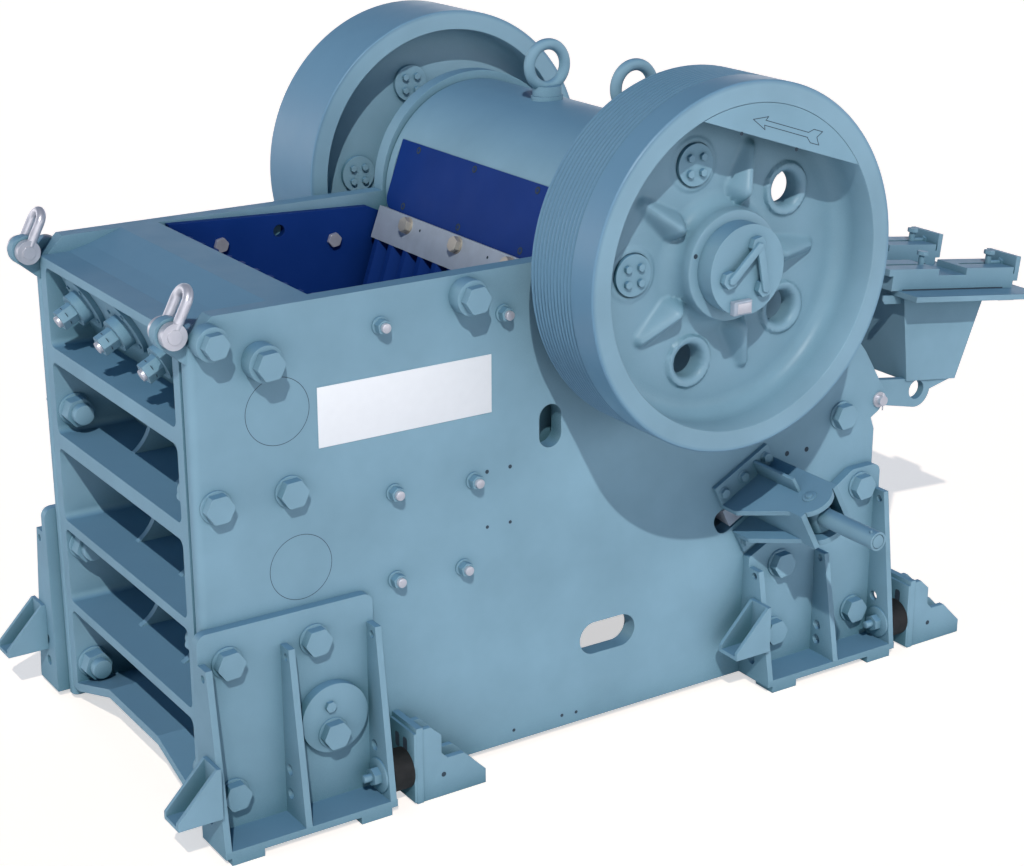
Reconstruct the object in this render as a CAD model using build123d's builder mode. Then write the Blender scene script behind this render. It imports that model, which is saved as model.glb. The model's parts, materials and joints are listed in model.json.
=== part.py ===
from build123d import *
import os
from math import atan2, cos, degrees, hypot, radians, sin, sqrt, tan

os.makedirs("parts", exist_ok=True)

# Single-toggle jaw crusher of bolted and pinned construction, millimetres.
# X runs from the ribbed front frame to the motor base at the rear, Z is up, the floor is Z = 0.
# The grooved flywheel stands on the -Y side, which is the right-hand side seen from the front.

# Driving sizes of the whole machine
nose_reach = 135
base_x, base_depth = 3443, 437
base_tilt = 7.5
base_length = 775.6
clear_width = 1270
plate_thickness = 70
plate_height = 1960
plate_length = 3249
pad_height = 30
shaft_from_front = 2076
overrun = 20

# Working clearances
side_clearance = 10
swing_clearance = 6
running_clearance = 0.05
seat_gap = 0.3

base_angle = radians(base_tilt)
overall_length = nose_reach + base_x + base_length * cos(base_angle)
front = nose_reach - overall_length / 2
plate_top = pad_height + plate_height
sides = (-1, 1)
inner = clear_width / 2
outer = inner + plate_thickness


def at(distance):
    """X of a place given by its distance behind the front face."""
    return front + distance


def down(depth):
    """Z of a place given by its depth below the top of the side plates."""
    return plate_top - depth


def keep(piece, name):
    """Label a finished piece and write it to its own file."""
    piece.part.label = name
    export_step(piece.part, f"parts/{name}.step")


def mirrored(piece):
    """The same piece on the other side of the machine."""
    with BuildPart() as other:
        mirror(piece.part, about=Plane.XZ)
    return other


def keep_both(piece, name):
    """Write a right-hand piece and its left-hand mirror image."""
    keep(piece, f"{name}_right")
    keep(mirrored(piece), f"{name}_left")


shaft_x = at(shaft_from_front)
shaft_z = plate_top

# Side plates, with the round head that carries the main bearing
plate_front = 82
plate_edge_radius = 28
plate_corner_cut = 98
head_radius = 465
head_bore = 300
shoulder_x, shoulder_depth = 3178, 634
ear_x, ear_depth, ear_radius = 3268, 865, 52
notch_x, notch_depth = 3229, 940
view_slot_x, view_slot_depth = 1568, 658
view_slot_width, view_slot_height = 102, 175
rod_slot_x, rod_slot_depth = 1853, 1607
rod_slot_width, rod_slot_height = 271, 138
ear_pin_radius = 22

# Lifting lugs at the front top corners of the side plates, each with a bow shackle
lug_thickness = 44
lug_radius = 58
lug_tangent = 35
pin_x, pin_depth = 33, 44
pin_radius = 26
pin_play = 1
lug_y = inner + plate_thickness / 2

# Toggle line and the pack of seat and wedges behind it
toggle_front_x, toggle_front_depth = 1600, 1690
toggle_rear_x, toggle_rear_depth = 2352, 1290
toggle_radius = 45
toggle_thickness = 60
toggle_half = 480
seat_block_depth = 110
seat_block_height = 300
wedge_pack_depth = 110
wedge_pack_height = 84
wedge_slot_length = 230
wedge_slot_play = 10
toggle_angle = atan2(toggle_front_depth - toggle_rear_depth, toggle_rear_x - toggle_front_x)
toggle_axis = (cos(toggle_angle), sin(toggle_angle))
toggle_side = (-toggle_axis[1], toggle_axis[0])
seat_origin = (at(toggle_rear_x), down(toggle_rear_depth))


def along_toggle(distance, side=0):
    """Place in the XZ plane, measured from the rear toggle centre along and across the toggle."""
    return (
        seat_origin[0] + distance * toggle_axis[0] + side * toggle_side[0],
        seat_origin[1] + distance * toggle_axis[1] + side * toggle_side[1],
    )


shoulder_dx = at(shoulder_x) - shaft_x
shoulder_reach = hypot(shoulder_dx, shoulder_depth)
shoulder_turn = degrees(atan2(-shoulder_depth, shoulder_dx))
tangent_turn = shoulder_turn + degrees(atan2(sqrt(shoulder_reach**2 - head_radius**2), head_radius))
tangent_point = (
    shaft_x + head_radius * cos(radians(tangent_turn)),
    shaft_z + head_radius * sin(radians(tangent_turn)),
)

lug_foot = (
    at(pin_x) - lug_radius * cos(radians(lug_tangent)),
    down(pin_depth) - lug_radius * sin(radians(lug_tangent)),
)
with BuildPart() as side_plate:
    with BuildSketch(Plane.XZ.offset(inner)):
        with BuildLine():
            Polyline(
                (shaft_x - head_radius, plate_top),
                (at(plate_front), plate_top),
                (at(plate_front), pad_height),
                (at(plate_length), pad_height),
                (at(plate_length), down(notch_depth + ear_radius)),
                (at(notch_x), down(notch_depth)),
                (at(ear_x), down(ear_depth + ear_radius)),
                (at(ear_x) + ear_radius, down(ear_depth)),
                (at(shoulder_x), down(shoulder_depth)),
                tangent_point,
            )
            ThreePointArc(
                tangent_point,
                (shaft_x, shaft_z + head_radius),
                (shaft_x - head_radius, plate_top),
            )
        make_face()
        with Locations((shaft_x, shaft_z)):
            Circle(head_bore, mode=Mode.SUBTRACT)
        with Locations((at(view_slot_x), down(view_slot_depth))):
            SlotOverall(view_slot_height, view_slot_width, rotation=90, mode=Mode.SUBTRACT)
        with Locations((at(rod_slot_x), down(rod_slot_depth))):
            SlotOverall(rod_slot_width, rod_slot_height, mode=Mode.SUBTRACT)
        with Locations(along_toggle(seat_block_depth + wedge_pack_depth / 2)):
            RectangleRounded(
                wedge_slot_length,
                wedge_pack_height + 2 * wedge_slot_play,
                wedge_pack_height / 2,
                rotation=degrees(toggle_angle),
                mode=Mode.SUBTRACT,
            )
        with Locations((at(ear_x), down(ear_depth))):
            Circle(ear_pin_radius, mode=Mode.SUBTRACT)
    extrude(amount=plate_thickness)
    top_corner = side_plate.edges().filter_by(Axis.Y).sort_by(Axis.X)[:2].sort_by(Axis.Z)[-1]
    chamfer(top_corner, plate_corner_cut)
    front_edges = side_plate.edges().filter_by(Axis.Z).group_by(Axis.X)[0]
    fillet(front_edges, plate_edge_radius)
    with BuildSketch(Plane.XZ.offset(lug_y - lug_thickness / 2)):
        with Locations((at(pin_x), down(pin_depth))):
            Circle(lug_radius)
        with BuildLine():
            Polyline(
                (at(plate_front) + plate_edge_radius, down(plate_corner_cut)),
                (at(plate_front) + plate_edge_radius, down(pin_depth + 2 * lug_radius)),
                (at(plate_front), down(pin_depth + 2 * lug_radius)),
                lug_foot,
                (at(pin_x), down(pin_depth)),
                close=True,
            )
        make_face()
    extrude(amount=lug_thickness)
    with BuildSketch(Plane.XZ.offset(lug_y)):
        with Locations((at(pin_x), down(pin_depth))):
            Circle(pin_radius + pin_play)
    extrude(amount=lug_thickness, both=True, mode=Mode.SUBTRACT)
keep_both(side_plate, "side_plate")

# Bow shackles
shackle_bar = 37
shackle_eye_radius = 47
shackle_eye_thickness = 34
shackle_lean = 27.7
shackle_reach = 162
shackle_gap = 2
shackle_leg = lug_thickness / 2 + shackle_gap + shackle_bar / 2

# Front frame, one casting: a deck that dips to the front, and shelves and ribs open to the front
frame_depth = 581
frame_height = 1801
deck_drop = 65
deck_thickness = 35
deck_ramp = [(200, 65), (285, 46), (425, 0)]
shelf_shares = [0.2327, 0.4314, 0.6363, 0.8351]
shelf_depths = [frame_height * share for share in shelf_shares]
shelf_thicknesses = [62, 63, 40, 41]
sill_thickness = 37
frame_wall = 52
back_front = 400
back_lean = 6
bay_radius = 30
sill_leg_drop = 114
sill_flat_half = 235
sill_foot_half = 575
rib_half_spacing = 200
rib_thickness = 28
rib_arc_radius = 176
rib_arc_x = 140
jaw_bolt_tilt = 27
jaw_bolt_spacing = 395
jaw_bolt_x, jaw_bolt_depth = 172, 206
frame_foot = frame_depth + frame_height * tan(radians(back_lean))
bay_width = clear_width - 2 * frame_wall
bay_ceilings = [deck_drop + deck_thickness]
bay_ceilings += [depth + thickness for depth, thickness in zip(shelf_depths, shelf_thicknesses)]
bay_floors = shelf_depths + [frame_height - sill_thickness]


def bolt_wall(depth):
    """Distance behind the front of the sloping wall that seats the jaw bolts."""
    return jaw_bolt_x + (depth - jaw_bolt_depth) * tan(radians(jaw_bolt_tilt))


with BuildPart() as front_frame:
    with BuildSketch(Plane.XZ):
        with BuildLine():
            Polyline(
                (at(plate_front), down(deck_drop)),
                *[(at(distance), down(depth)) for distance, depth in deck_ramp],
                (at(frame_depth), plate_top),
                (at(frame_foot), down(frame_height)),
                (at(plate_front), down(frame_height)),
                close=True,
            )
        make_face()
    extrude(amount=inner, both=True)
    for ceiling, floor in zip(bay_ceilings, bay_floors):
        with BuildSketch(Plane.YZ.offset(at(0))):
            with Locations((0, down((ceiling + floor) / 2))):
                RectangleRounded(bay_width, floor - ceiling, bay_radius)
        extrude(amount=back_front, mode=Mode.SUBTRACT)
    with BuildSketch(Plane.XZ):
        with BuildLine():
            Polyline(
                (at(bolt_wall(deck_drop)), down(deck_drop)),
                (at(bolt_wall(bay_floors[0])), down(bay_floors[0])),
                (at(back_front), down(bay_floors[0])),
                (at(back_front), down(deck_drop)),
                close=True,
            )
        make_face()
    extrude(amount=inner, both=True)
    for side in sides:
        for ceiling, floor in zip(bay_ceilings[1:], bay_floors[1:]):
            with BuildSketch(Plane.XZ.offset(side * rib_half_spacing)):
                with Locations((at(rib_arc_x), down((ceiling + floor) / 2))):
                    Rectangle(back_front - rib_arc_x, floor - ceiling, align=(Align.MIN, Align.CENTER))
                    Circle(rib_arc_radius, mode=Mode.SUBTRACT)
            extrude(amount=rib_thickness / 2, both=True)
    with BuildSketch(Plane.YZ.offset(at(plate_front))):
        for side in sides:
            with BuildLine():
                Polyline(
                    (side * inner, down(frame_height)),
                    (side * sill_flat_half, down(frame_height)),
                    (side * sill_foot_half, down(frame_height + sill_leg_drop)),
                    (side * inner, down(frame_height + sill_leg_drop)),
                    close=True,
                )
            make_face()
    extrude(amount=back_front - plate_front)
    sill_top = frame_height - sill_thickness
    with BuildSketch(Plane.YZ.offset(at(0))):
        for side in sides:
            with BuildLine():
                Polyline(
                    (side * bay_width / 2, down(sill_top - bay_radius)),
                    (side * sill_flat_half, down(sill_top - bay_radius)),
                    (side * sill_flat_half, down(sill_top)),
                    (side * sill_foot_half, down(sill_top + sill_leg_drop)),
                    (side * bay_width / 2, down(sill_top + sill_leg_drop)),
                    close=True,
                )
            make_face()
    extrude(amount=back_front, mode=Mode.SUBTRACT)
keep(front_frame, "front_frame")

# Fixed and moving jaw dies, with ridges along their length
die_thickness = 90
die_half = 590
ridge_pitch = 118
ridge_height = 35
fixed_die_drop = 60
fixed_die_length = 1560
moving_top_x, moving_top_depth = 1519, 178
moving_foot_x, moving_foot_depth = 1010, 1690
ridge_count = int(2 * die_half / ridge_pitch)


def ridged_section():
    """Die section across its width, with a flat back on the X axis and ridges above it."""
    valley = die_thickness - ridge_height
    start = -ridge_count * ridge_pitch / 2
    points = [(-die_half, 0), (-die_half, valley)]
    for i in range(ridge_count):
        left = start + i * ridge_pitch
        points += [
            (left + ridge_pitch / 8, valley),
            (left + ridge_pitch * 3 / 8, die_thickness),
            (left + ridge_pitch * 5 / 8, die_thickness),
            (left + ridge_pitch * 7 / 8, valley),
        ]
    points += [(die_half, valley), (die_half, 0)]
    with BuildSketch() as section:
        with BuildLine():
            Polyline(*points, close=True)
        make_face()
    return section.sketch


lean = radians(back_lean)
fixed_die_plane = Plane(
    origin=(at(frame_depth) + fixed_die_drop * tan(lean), 0, down(fixed_die_drop)),
    x_dir=(0, 1, 0),
    z_dir=(sin(lean), 0, -cos(lean)),
)
with BuildPart() as fixed_jaw_die:
    with BuildSketch(fixed_die_plane):
        add(ridged_section())
    extrude(amount=fixed_die_length)
keep(fixed_jaw_die, "fixed_jaw_die")

moving_slope = atan2(moving_top_x - moving_foot_x, moving_foot_depth - moving_top_depth)
moving_die_length = hypot(moving_top_x - moving_foot_x, moving_foot_depth - moving_top_depth)
die_out = (-cos(moving_slope), sin(moving_slope))
die_back_top = (
    at(moving_top_x) - die_out[0] * die_thickness,
    down(moving_top_depth) - die_out[1] * die_thickness,
)
die_back_foot = (
    die_back_top[0] - moving_die_length * sin(moving_slope),
    die_back_top[1] - moving_die_length * cos(moving_slope),
)
moving_die_plane = Plane(
    origin=(die_back_top[0], 0, die_back_top[1]),
    x_dir=(0, -1, 0),
    z_dir=(-sin(moving_slope), 0, -cos(moving_slope)),
)
with BuildPart() as moving_jaw_die:
    with BuildSketch(moving_die_plane):
        add(ridged_section())
    extrude(amount=moving_die_length)
keep(moving_jaw_die, "moving_jaw_die")

# Eccentric shaft: its thick middle lies off the spin axis and carries the pitman
throw = 18
eccentric_angle = 252
journal_radius = 140
eccentric_radius = 190
shaft_half = 1215
pitman_half = inner - side_clearance
eccentric_x = shaft_x + throw * cos(radians(eccentric_angle))
eccentric_z = shaft_z + throw * sin(radians(eccentric_angle))
with BuildPart() as eccentric_shaft:
    with BuildSketch(Plane.XZ):
        with Locations((eccentric_x, eccentric_z)):
            Circle(eccentric_radius)
    extrude(amount=pitman_half, both=True)
    with BuildSketch(Plane.XZ):
        with Locations((shaft_x, shaft_z)):
            Circle(journal_radius)
    extrude(amount=shaft_half, both=True)
keep(eccentric_shaft, "eccentric_shaft")

# Main bearing housings, seated in the heads of the side plates and flanged on their outer faces
bearing_flange_radius = 400
bearing_flange_thickness = 60
bearing_cover_radius = 270
bearing_cover_thickness = 45
bearing_inset = 12
with BuildPart() as main_bearing:
    with BuildSketch(Plane.XZ.offset(inner + bearing_inset)):
        with Locations((shaft_x, shaft_z)):
            Circle(head_bore)
    extrude(amount=plate_thickness - bearing_inset)
    with BuildSketch(Plane.XZ.offset(outer)):
        with Locations((shaft_x, shaft_z)):
            Circle(bearing_flange_radius)
    extrude(amount=bearing_flange_thickness)
    with BuildSketch(Plane.XZ.offset(outer + bearing_flange_thickness)):
        with Locations((shaft_x, shaft_z)):
            Circle(bearing_cover_radius)
    extrude(amount=bearing_cover_thickness)
    with BuildSketch(Plane.XZ.offset(inner)):
        with Locations((shaft_x, shaft_z)):
            Circle(journal_radius + running_clearance)
    extrude(amount=clear_width, mode=Mode.SUBTRACT)
keep_both(main_bearing, "main_bearing")

# Pitman, the swing jaw casting that hangs on the eccentric
barrel_radius = 449
body_half = 580
guard_top_x, guard_top_depth = 1698, -217
guard_foot_x, guard_foot_depth = 1599, 59
jaw_wedge_thickness = 34
guard_thickness = 14
pitman_back_x, pitman_back_depth = 1700, 900
pitman_foot_drop = 110
seat_depth = 28
groove_seat_share = 1.9
barrel_cut_angle = -30
eye_places = [-524, 71]
eye_boss_radius = 66
eye_boss_height = 14

groove_x = at(toggle_front_x) + eccentric_x - shaft_x
groove_z = down(toggle_front_depth) + eccentric_z - shaft_z
groove_radius = toggle_radius + throw + swing_clearance
seat_mid = (
    groove_x + seat_depth * toggle_axis[0],
    groove_z + seat_depth * toggle_axis[1],
)
seat_half_height = groove_seat_share * groove_radius
seat_top = (
    seat_mid[0] + seat_half_height * toggle_side[0],
    seat_mid[1] + seat_half_height * toggle_side[1],
)
seat_foot = (
    seat_mid[0] - seat_half_height * toggle_side[0],
    seat_mid[1] - seat_half_height * toggle_side[1],
)
guard_slope = atan2(guard_top_x - guard_foot_x, guard_foot_depth - guard_top_depth)
guard_out = (-cos(guard_slope), sin(guard_slope))
guard_height = hypot(guard_top_x - guard_foot_x, guard_foot_depth - guard_top_depth)
guard_plane = Plane(
    origin=(at(guard_foot_x), 0, down(guard_foot_depth)),
    x_dir=(0, -1, 0),
    z_dir=(guard_out[0], 0, guard_out[1]),
)
barrel_top = eccentric_z + barrel_radius
with BuildPart() as pitman:
    with BuildSketch(Plane.XZ):
        with Locations((eccentric_x, eccentric_z)):
            Circle(barrel_radius)
    extrude(amount=pitman_half, both=True)
    with BuildSketch(Plane.XZ):
        with BuildLine():
            Polyline(
                (at(guard_top_x), down(guard_top_depth)),
                (at(guard_foot_x), down(guard_foot_depth)),
                die_back_top,
                die_back_foot,
                (die_back_foot[0] + die_thickness, die_back_foot[1] - pitman_foot_drop),
                seat_foot,
                seat_top,
                (at(pitman_back_x), down(pitman_back_depth)),
                (
                    eccentric_x + barrel_radius * cos(radians(barrel_cut_angle)),
                    eccentric_z + barrel_radius * sin(radians(barrel_cut_angle)),
                ),
                (eccentric_x, eccentric_z),
                close=True,
            )
        make_face()
    extrude(amount=body_half, both=True)
    with BuildSketch(Plane.XY.offset(eccentric_z + eccentric_radius)):
        with Locations(*[(eccentric_x, y) for y in eye_places]):
            Circle(eye_boss_radius)
    extrude(amount=barrel_radius - eccentric_radius + eye_boss_height)
    with BuildSketch(guard_plane):
        with Locations((0, guard_height / 2)):
            Rectangle(2 * body_half, guard_height)
    extrude(amount=barrel_radius, mode=Mode.SUBTRACT)
    with BuildSketch(Plane.XZ):
        with Locations((eccentric_x, eccentric_z)):
            Circle(eccentric_radius + running_clearance)
    extrude(amount=clear_width, both=True, mode=Mode.SUBTRACT)
    with BuildSketch(Plane.XZ):
        with Locations((groove_x, groove_z)):
            Circle(groove_radius)
    extrude(amount=clear_width, both=True, mode=Mode.SUBTRACT)
keep(pitman, "pitman")

# Guard plate screwed over the pitman's front, from the barrel down to the jaw wedge
guard_corner = 60
with BuildPart() as pitman_guard:
    with BuildSketch(guard_plane):
        with Locations((0, guard_height / 2)):
            Rectangle(2 * body_half, guard_height)
    extrude(amount=guard_thickness)
    guard_edges = pitman_guard.edges().filter_by(Axis((0, 0, 0), (guard_out[0], 0, guard_out[1])))
    fillet(guard_edges.group_by(Axis.Z)[0], guard_corner)
keep(pitman_guard, "pitman_guard")

# Wedge plate that clamps the top of the moving jaw die
wedge_outer = (at(moving_top_x), down(moving_top_depth))
wedge_inner = (at(guard_foot_x), down(guard_foot_depth))
with BuildPart() as jaw_wedge:
    with BuildSketch(Plane.XZ):
        with BuildLine():
            Polyline(
                wedge_inner,
                (
                    wedge_inner[0] + guard_out[0] * jaw_wedge_thickness,
                    wedge_inner[1] + guard_out[1] * jaw_wedge_thickness,
                ),
                wedge_outer,
                die_back_top,
                close=True,
            )
        make_face()
    extrude(amount=body_half, both=True)
keep(jaw_wedge, "jaw_wedge")

# Toggle plate, with round ends, between the pitman's groove and the rear seat
with BuildPart() as toggle_plate:
    with BuildSketch(Plane.XZ):
        with Locations(
            (at(toggle_front_x), down(toggle_front_depth)),
            (at(toggle_rear_x), down(toggle_rear_depth)),
        ):
            Circle(toggle_radius)
        toggle_mid = (
            at((toggle_front_x + toggle_rear_x) / 2),
            down((toggle_front_depth + toggle_rear_depth) / 2),
        )
        toggle_length = hypot(toggle_rear_x - toggle_front_x, toggle_front_depth - toggle_rear_depth)
        with Locations(toggle_mid):
            Rectangle(toggle_length, toggle_thickness, rotation=degrees(toggle_angle))
    extrude(amount=toggle_half, both=True)
keep(toggle_plate, "toggle_plate")

# Rear seat block and the two adjusting wedges behind it
wedge_slope_shift = 36
with BuildPart() as toggle_seat:
    with BuildSketch(Plane.XZ):
        with Locations(along_toggle(seat_block_depth / 2)):
            Rectangle(seat_block_depth, seat_block_height, rotation=degrees(toggle_angle))
        with Locations(seat_origin):
            Circle(toggle_radius + seat_gap, mode=Mode.SUBTRACT)
    extrude(amount=toggle_half, both=True)
keep(toggle_seat, "toggle_seat")

wedge_plane = Plane(
    origin=(seat_origin[0], 0, seat_origin[1]),
    x_dir=(toggle_axis[0], 0, toggle_axis[1]),
    z_dir=(toggle_side[0], 0, toggle_side[1]),
)
wedge_front = seat_block_depth
wedge_back = seat_block_depth + wedge_pack_depth
wedge_middle = (wedge_front + wedge_back) / 2


def wedge_face(y):
    """Place along the toggle where the two wedges slide on each other, at a distance across the machine."""
    return wedge_middle + wedge_slope_shift * y / toggle_half


with BuildPart() as adjusting_wedges:
    with BuildSketch(wedge_plane.offset(-wedge_pack_height / 2)):
        with BuildLine():
            Polyline(
                (wedge_front, outer),
                (wedge_face(outer), outer),
                (wedge_face(-toggle_half), -toggle_half),
                (wedge_front, -toggle_half),
                close=True,
            )
        make_face()
    extrude(amount=wedge_pack_height)
    with BuildSketch(wedge_plane.offset(-wedge_pack_height / 2)):
        with BuildLine():
            Polyline(
                (wedge_back, toggle_half),
                (wedge_face(toggle_half) + seat_gap, toggle_half),
                (wedge_face(-outer) + seat_gap, -outer),
                (wedge_back, -outer),
                close=True,
            )
        make_face()
    extrude(amount=wedge_pack_height)
keep(adjusting_wedges, "adjusting_wedges")

# Rear frame, a ribbed casting between the side plates that takes the toggle's thrust
rear_front_reach = 180
rear_top_x, rear_top_depth = 2640, 870
rear_back_x = 3200
rear_foot_x, rear_foot_depth = 2700, 1880
rear_web = 120
rear_shelf_thickness = 50
rear_bay_radius = 40
rear_bay_count = 3
rear_upper = along_toggle(wedge_back, rear_front_reach)
rear_lower = along_toggle(wedge_back, -rear_front_reach)
rear_height = rear_foot_depth - rear_top_depth
rear_bay_height = (rear_height - (rear_bay_count + 1) * rear_shelf_thickness) / rear_bay_count
with BuildPart() as rear_frame:
    with BuildSketch(Plane.XZ):
        with BuildLine():
            Polyline(
                rear_upper,
                (at(rear_top_x), down(rear_top_depth)),
                (at(rear_back_x), down(rear_top_depth)),
                (at(rear_back_x), down(rear_foot_depth)),
                (at(rear_foot_x), down(rear_foot_depth)),
                rear_lower,
                close=True,
            )
        make_face()
    extrude(amount=inner, both=True)
    with BuildSketch(Plane.YZ.offset(at(rear_foot_x) + rear_web)):
        for i in range(rear_bay_count):
            bay_top = rear_top_depth + rear_shelf_thickness + i * (rear_bay_height + rear_shelf_thickness)
            with Locations((0, down(bay_top + rear_bay_height / 2))):
                RectangleRounded(clear_width - 2 * frame_wall, rear_bay_height, rear_bay_radius)
    extrude(amount=rear_back_x, mode=Mode.SUBTRACT)
keep(rear_frame, "rear_frame")

# Flywheels: deep rim, recessed web with five star ribs and five holes, stepped hub; two of the
# holes are closed by covers that lie in the collar outside and on the web inside
wheel_radius = 694
rim_inner_radius = 611
wheel_inner_face = 846
wheel_outer_face = 1233
web_outer_face = 1050
web_inner_face = 985
hub_outer_face = 1155
hub_radius = 210
hub_inner_face = 830
hub_inner_radius = 250
star_count = 5
star_reach = 450
star_root_width = 120
star_tip_width = 26
star_root_height = 85
star_tip_height = 6
hole_circle = 393
hole_radius = 62
hole_collar_radius = 100
hole_collar_height = 22
web_fillet = 60
star_root_share = 0.9
groove_width_share = 0.8
groove_flank_share = 1.2
hole_collar_taper = 30
groove_count = 12
groove_pitch = 21
groove_depth = 16
groove_start = 16
covered_holes = [1, 2]
cover_seat_radius = 84
cover_radius = 79
cover_thickness = 17
hole_turns = [(i + 1 / 2) * 360 / star_count for i in range(star_count)]
covered_turns = [hole_turns[i] for i in covered_holes]


def hole_centres(turns):
    """Centres of web holes from the shaft, at the given turns."""
    return [(hole_circle * cos(radians(turn)), hole_circle * sin(radians(turn))) for turn in turns]


def wheel(grooved):
    """One flywheel on the -Y side of the machine."""
    with BuildPart() as body:
        with BuildSketch(Plane.YZ.offset(shaft_x)):
            with BuildLine():
                Polyline(
                    (-hub_inner_face, shaft_z + journal_radius + running_clearance),
                    (-hub_inner_face, shaft_z + hub_inner_radius),
                    (-web_inner_face, shaft_z + hub_inner_radius + web_fillet),
                    (-web_inner_face, shaft_z + rim_inner_radius - web_fillet),
                    (-wheel_inner_face, shaft_z + rim_inner_radius),
                    (-wheel_inner_face, shaft_z + wheel_radius),
                    (-wheel_outer_face, shaft_z + wheel_radius),
                    (-wheel_outer_face, shaft_z + rim_inner_radius),
                    (-web_outer_face - web_fillet, shaft_z + rim_inner_radius),
                    (-web_outer_face, shaft_z + rim_inner_radius - web_fillet),
                    (-web_outer_face, shaft_z + hub_radius + web_fillet),
                    (-web_outer_face - web_fillet, shaft_z + hub_radius),
                    (-hub_outer_face, shaft_z + hub_radius),
                    (-hub_outer_face, shaft_z + journal_radius + running_clearance),
                    close=True,
                )
            make_face()
            if grooved:
                first = -wheel_inner_face - groove_start
                grooves = [(first - i * groove_pitch, shaft_z + wheel_radius) for i in range(groove_count)]
                with Locations(*grooves):
                    Triangle(
                        a=groove_pitch * groove_width_share,
                        b=groove_depth * groove_flank_share,
                        c=groove_depth * groove_flank_share,
                        rotation=180,
                        align=(Align.CENTER, Align.MIN),
                        mode=Mode.SUBTRACT,
                    )
        revolve(axis=Axis((shaft_x, 0, shaft_z), (0, 1, 0)))
        face_plane = Plane(origin=(shaft_x, -web_outer_face, shaft_z), x_dir=(1, 0, 0), z_dir=(0, -1, 0))
        with BuildSketch(face_plane):
            with PolarLocations(hole_circle, star_count, start_angle=180 / star_count):
                Circle(hole_collar_radius)
        extrude(amount=hole_collar_height, taper=hole_collar_taper)
        with BuildSketch(face_plane):
            with PolarLocations(hole_circle, star_count, start_angle=180 / star_count):
                Circle(hole_radius)
        extrude(amount=wheel_outer_face, both=True, mode=Mode.SUBTRACT)
        for i in range(star_count):
            turn = radians(i * 360 / star_count)
            spoke = Vector(cos(turn), 0, sin(turn))
            side = Vector(-sin(turn), 0, cos(turn))
            sections = [
                (hub_radius * star_root_share, star_root_width / 2, star_root_height),
                (star_reach, star_tip_width / 2, star_tip_height),
            ]
            for reach, half_width, height in sections:
                with BuildSketch(Plane(origin=face_plane.origin + spoke * reach, x_dir=side, z_dir=spoke)):
                    with BuildLine():
                        Polyline(
                            (-half_width, -web_fillet / 2),
                            (0, height),
                            (half_width, -web_fillet / 2),
                            close=True,
                        )
                    make_face()
            loft()
        with BuildSketch(face_plane):
            with Locations(*hole_centres(covered_turns)):
                Circle(cover_seat_radius)
        extrude(amount=star_root_height, mode=Mode.SUBTRACT)
    return body


flywheel_right = wheel(True)
keep(flywheel_right, "flywheel_right")
keep(mirrored(wheel(False)), "flywheel_left")

# Covers bolted over two of the five holes in each web, from both faces
with BuildPart() as hole_plugs:
    for side in sides:
        for face, reach, radius in (
            (web_inner_face, web_outer_face - web_inner_face, hole_radius - seat_gap),
            (web_outer_face, cover_thickness, cover_radius),
            (web_inner_face, -cover_thickness, cover_radius),
        ):
            with BuildSketch(Plane.XZ.offset(side * face)):
                with Locations((shaft_x, shaft_z)):
                    with Locations(*hole_centres(covered_turns)):
                        Circle(radius)
            extrude(amount=side * reach)
keep(hole_plugs, "hole_plugs")

# Counterweights: a chord segment inside each rim, flush with the rim's face
weight_chord = 472
weight_angle = 72
weight_depth = 90
with BuildPart() as counterweight:
    weight_plane = Plane(
        origin=(shaft_x, -wheel_outer_face, shaft_z),
        x_dir=(cos(radians(weight_angle)), 0, sin(radians(weight_angle))),
        z_dir=(0, -1, 0),
    )
    with BuildSketch(weight_plane):
        Circle(rim_inner_radius - seat_gap)
        with Locations((weight_chord - wheel_radius, 0)):
            Rectangle(2 * wheel_radius, 2 * wheel_radius, mode=Mode.SUBTRACT)
    extrude(amount=-weight_depth)
keep_both(counterweight, "counterweight")

# Hub end caps
cap_radius = 171
screw_size = 34
screw_height = 26
screw_circle = 98
screw_count = 3
screw_angle = 72
with BuildPart() as end_cap:
    with BuildSketch(Plane.XZ.offset(hub_outer_face)):
        with Locations((shaft_x, shaft_z)):
            Circle(cap_radius)
    extrude(amount=wheel_outer_face - hub_outer_face)
    with BuildSketch(Plane.XZ.offset(hub_outer_face)):
        with Locations((shaft_x, shaft_z)):
            Circle(journal_radius + running_clearance)
    extrude(amount=shaft_half - hub_outer_face, mode=Mode.SUBTRACT)
keep_both(end_cap, "shaft_end_cap")

# Cheek plates that line the chamber's sides, upper and lower
cheek_thickness = 34
cheek_front_x, cheek_front_depth = 612, 8
cheek_rear_x, cheek_rear_depth = 1520, 50
cheek_tip_x, cheek_tip_depth = 1585, 81
cheek_split_depth = 820
cheek_foot_depth = 1560
cheek_split_gap = 4
cheek_lap = 150
cheek_bolt_radius = 26
cheek_hole_x, cheek_hole_depth = 1100, 100


def jaw_line(depth):
    """X behind which the moving die's ridges lie at a depth."""
    share = (depth - moving_top_depth) / (moving_foot_depth - moving_top_depth)
    return at(moving_top_x + share * (moving_foot_x - moving_top_x))


def frame_line(depth):
    """X of the fixed jaw's seat at a depth."""
    return at(frame_depth) + depth * tan(lean)


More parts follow.
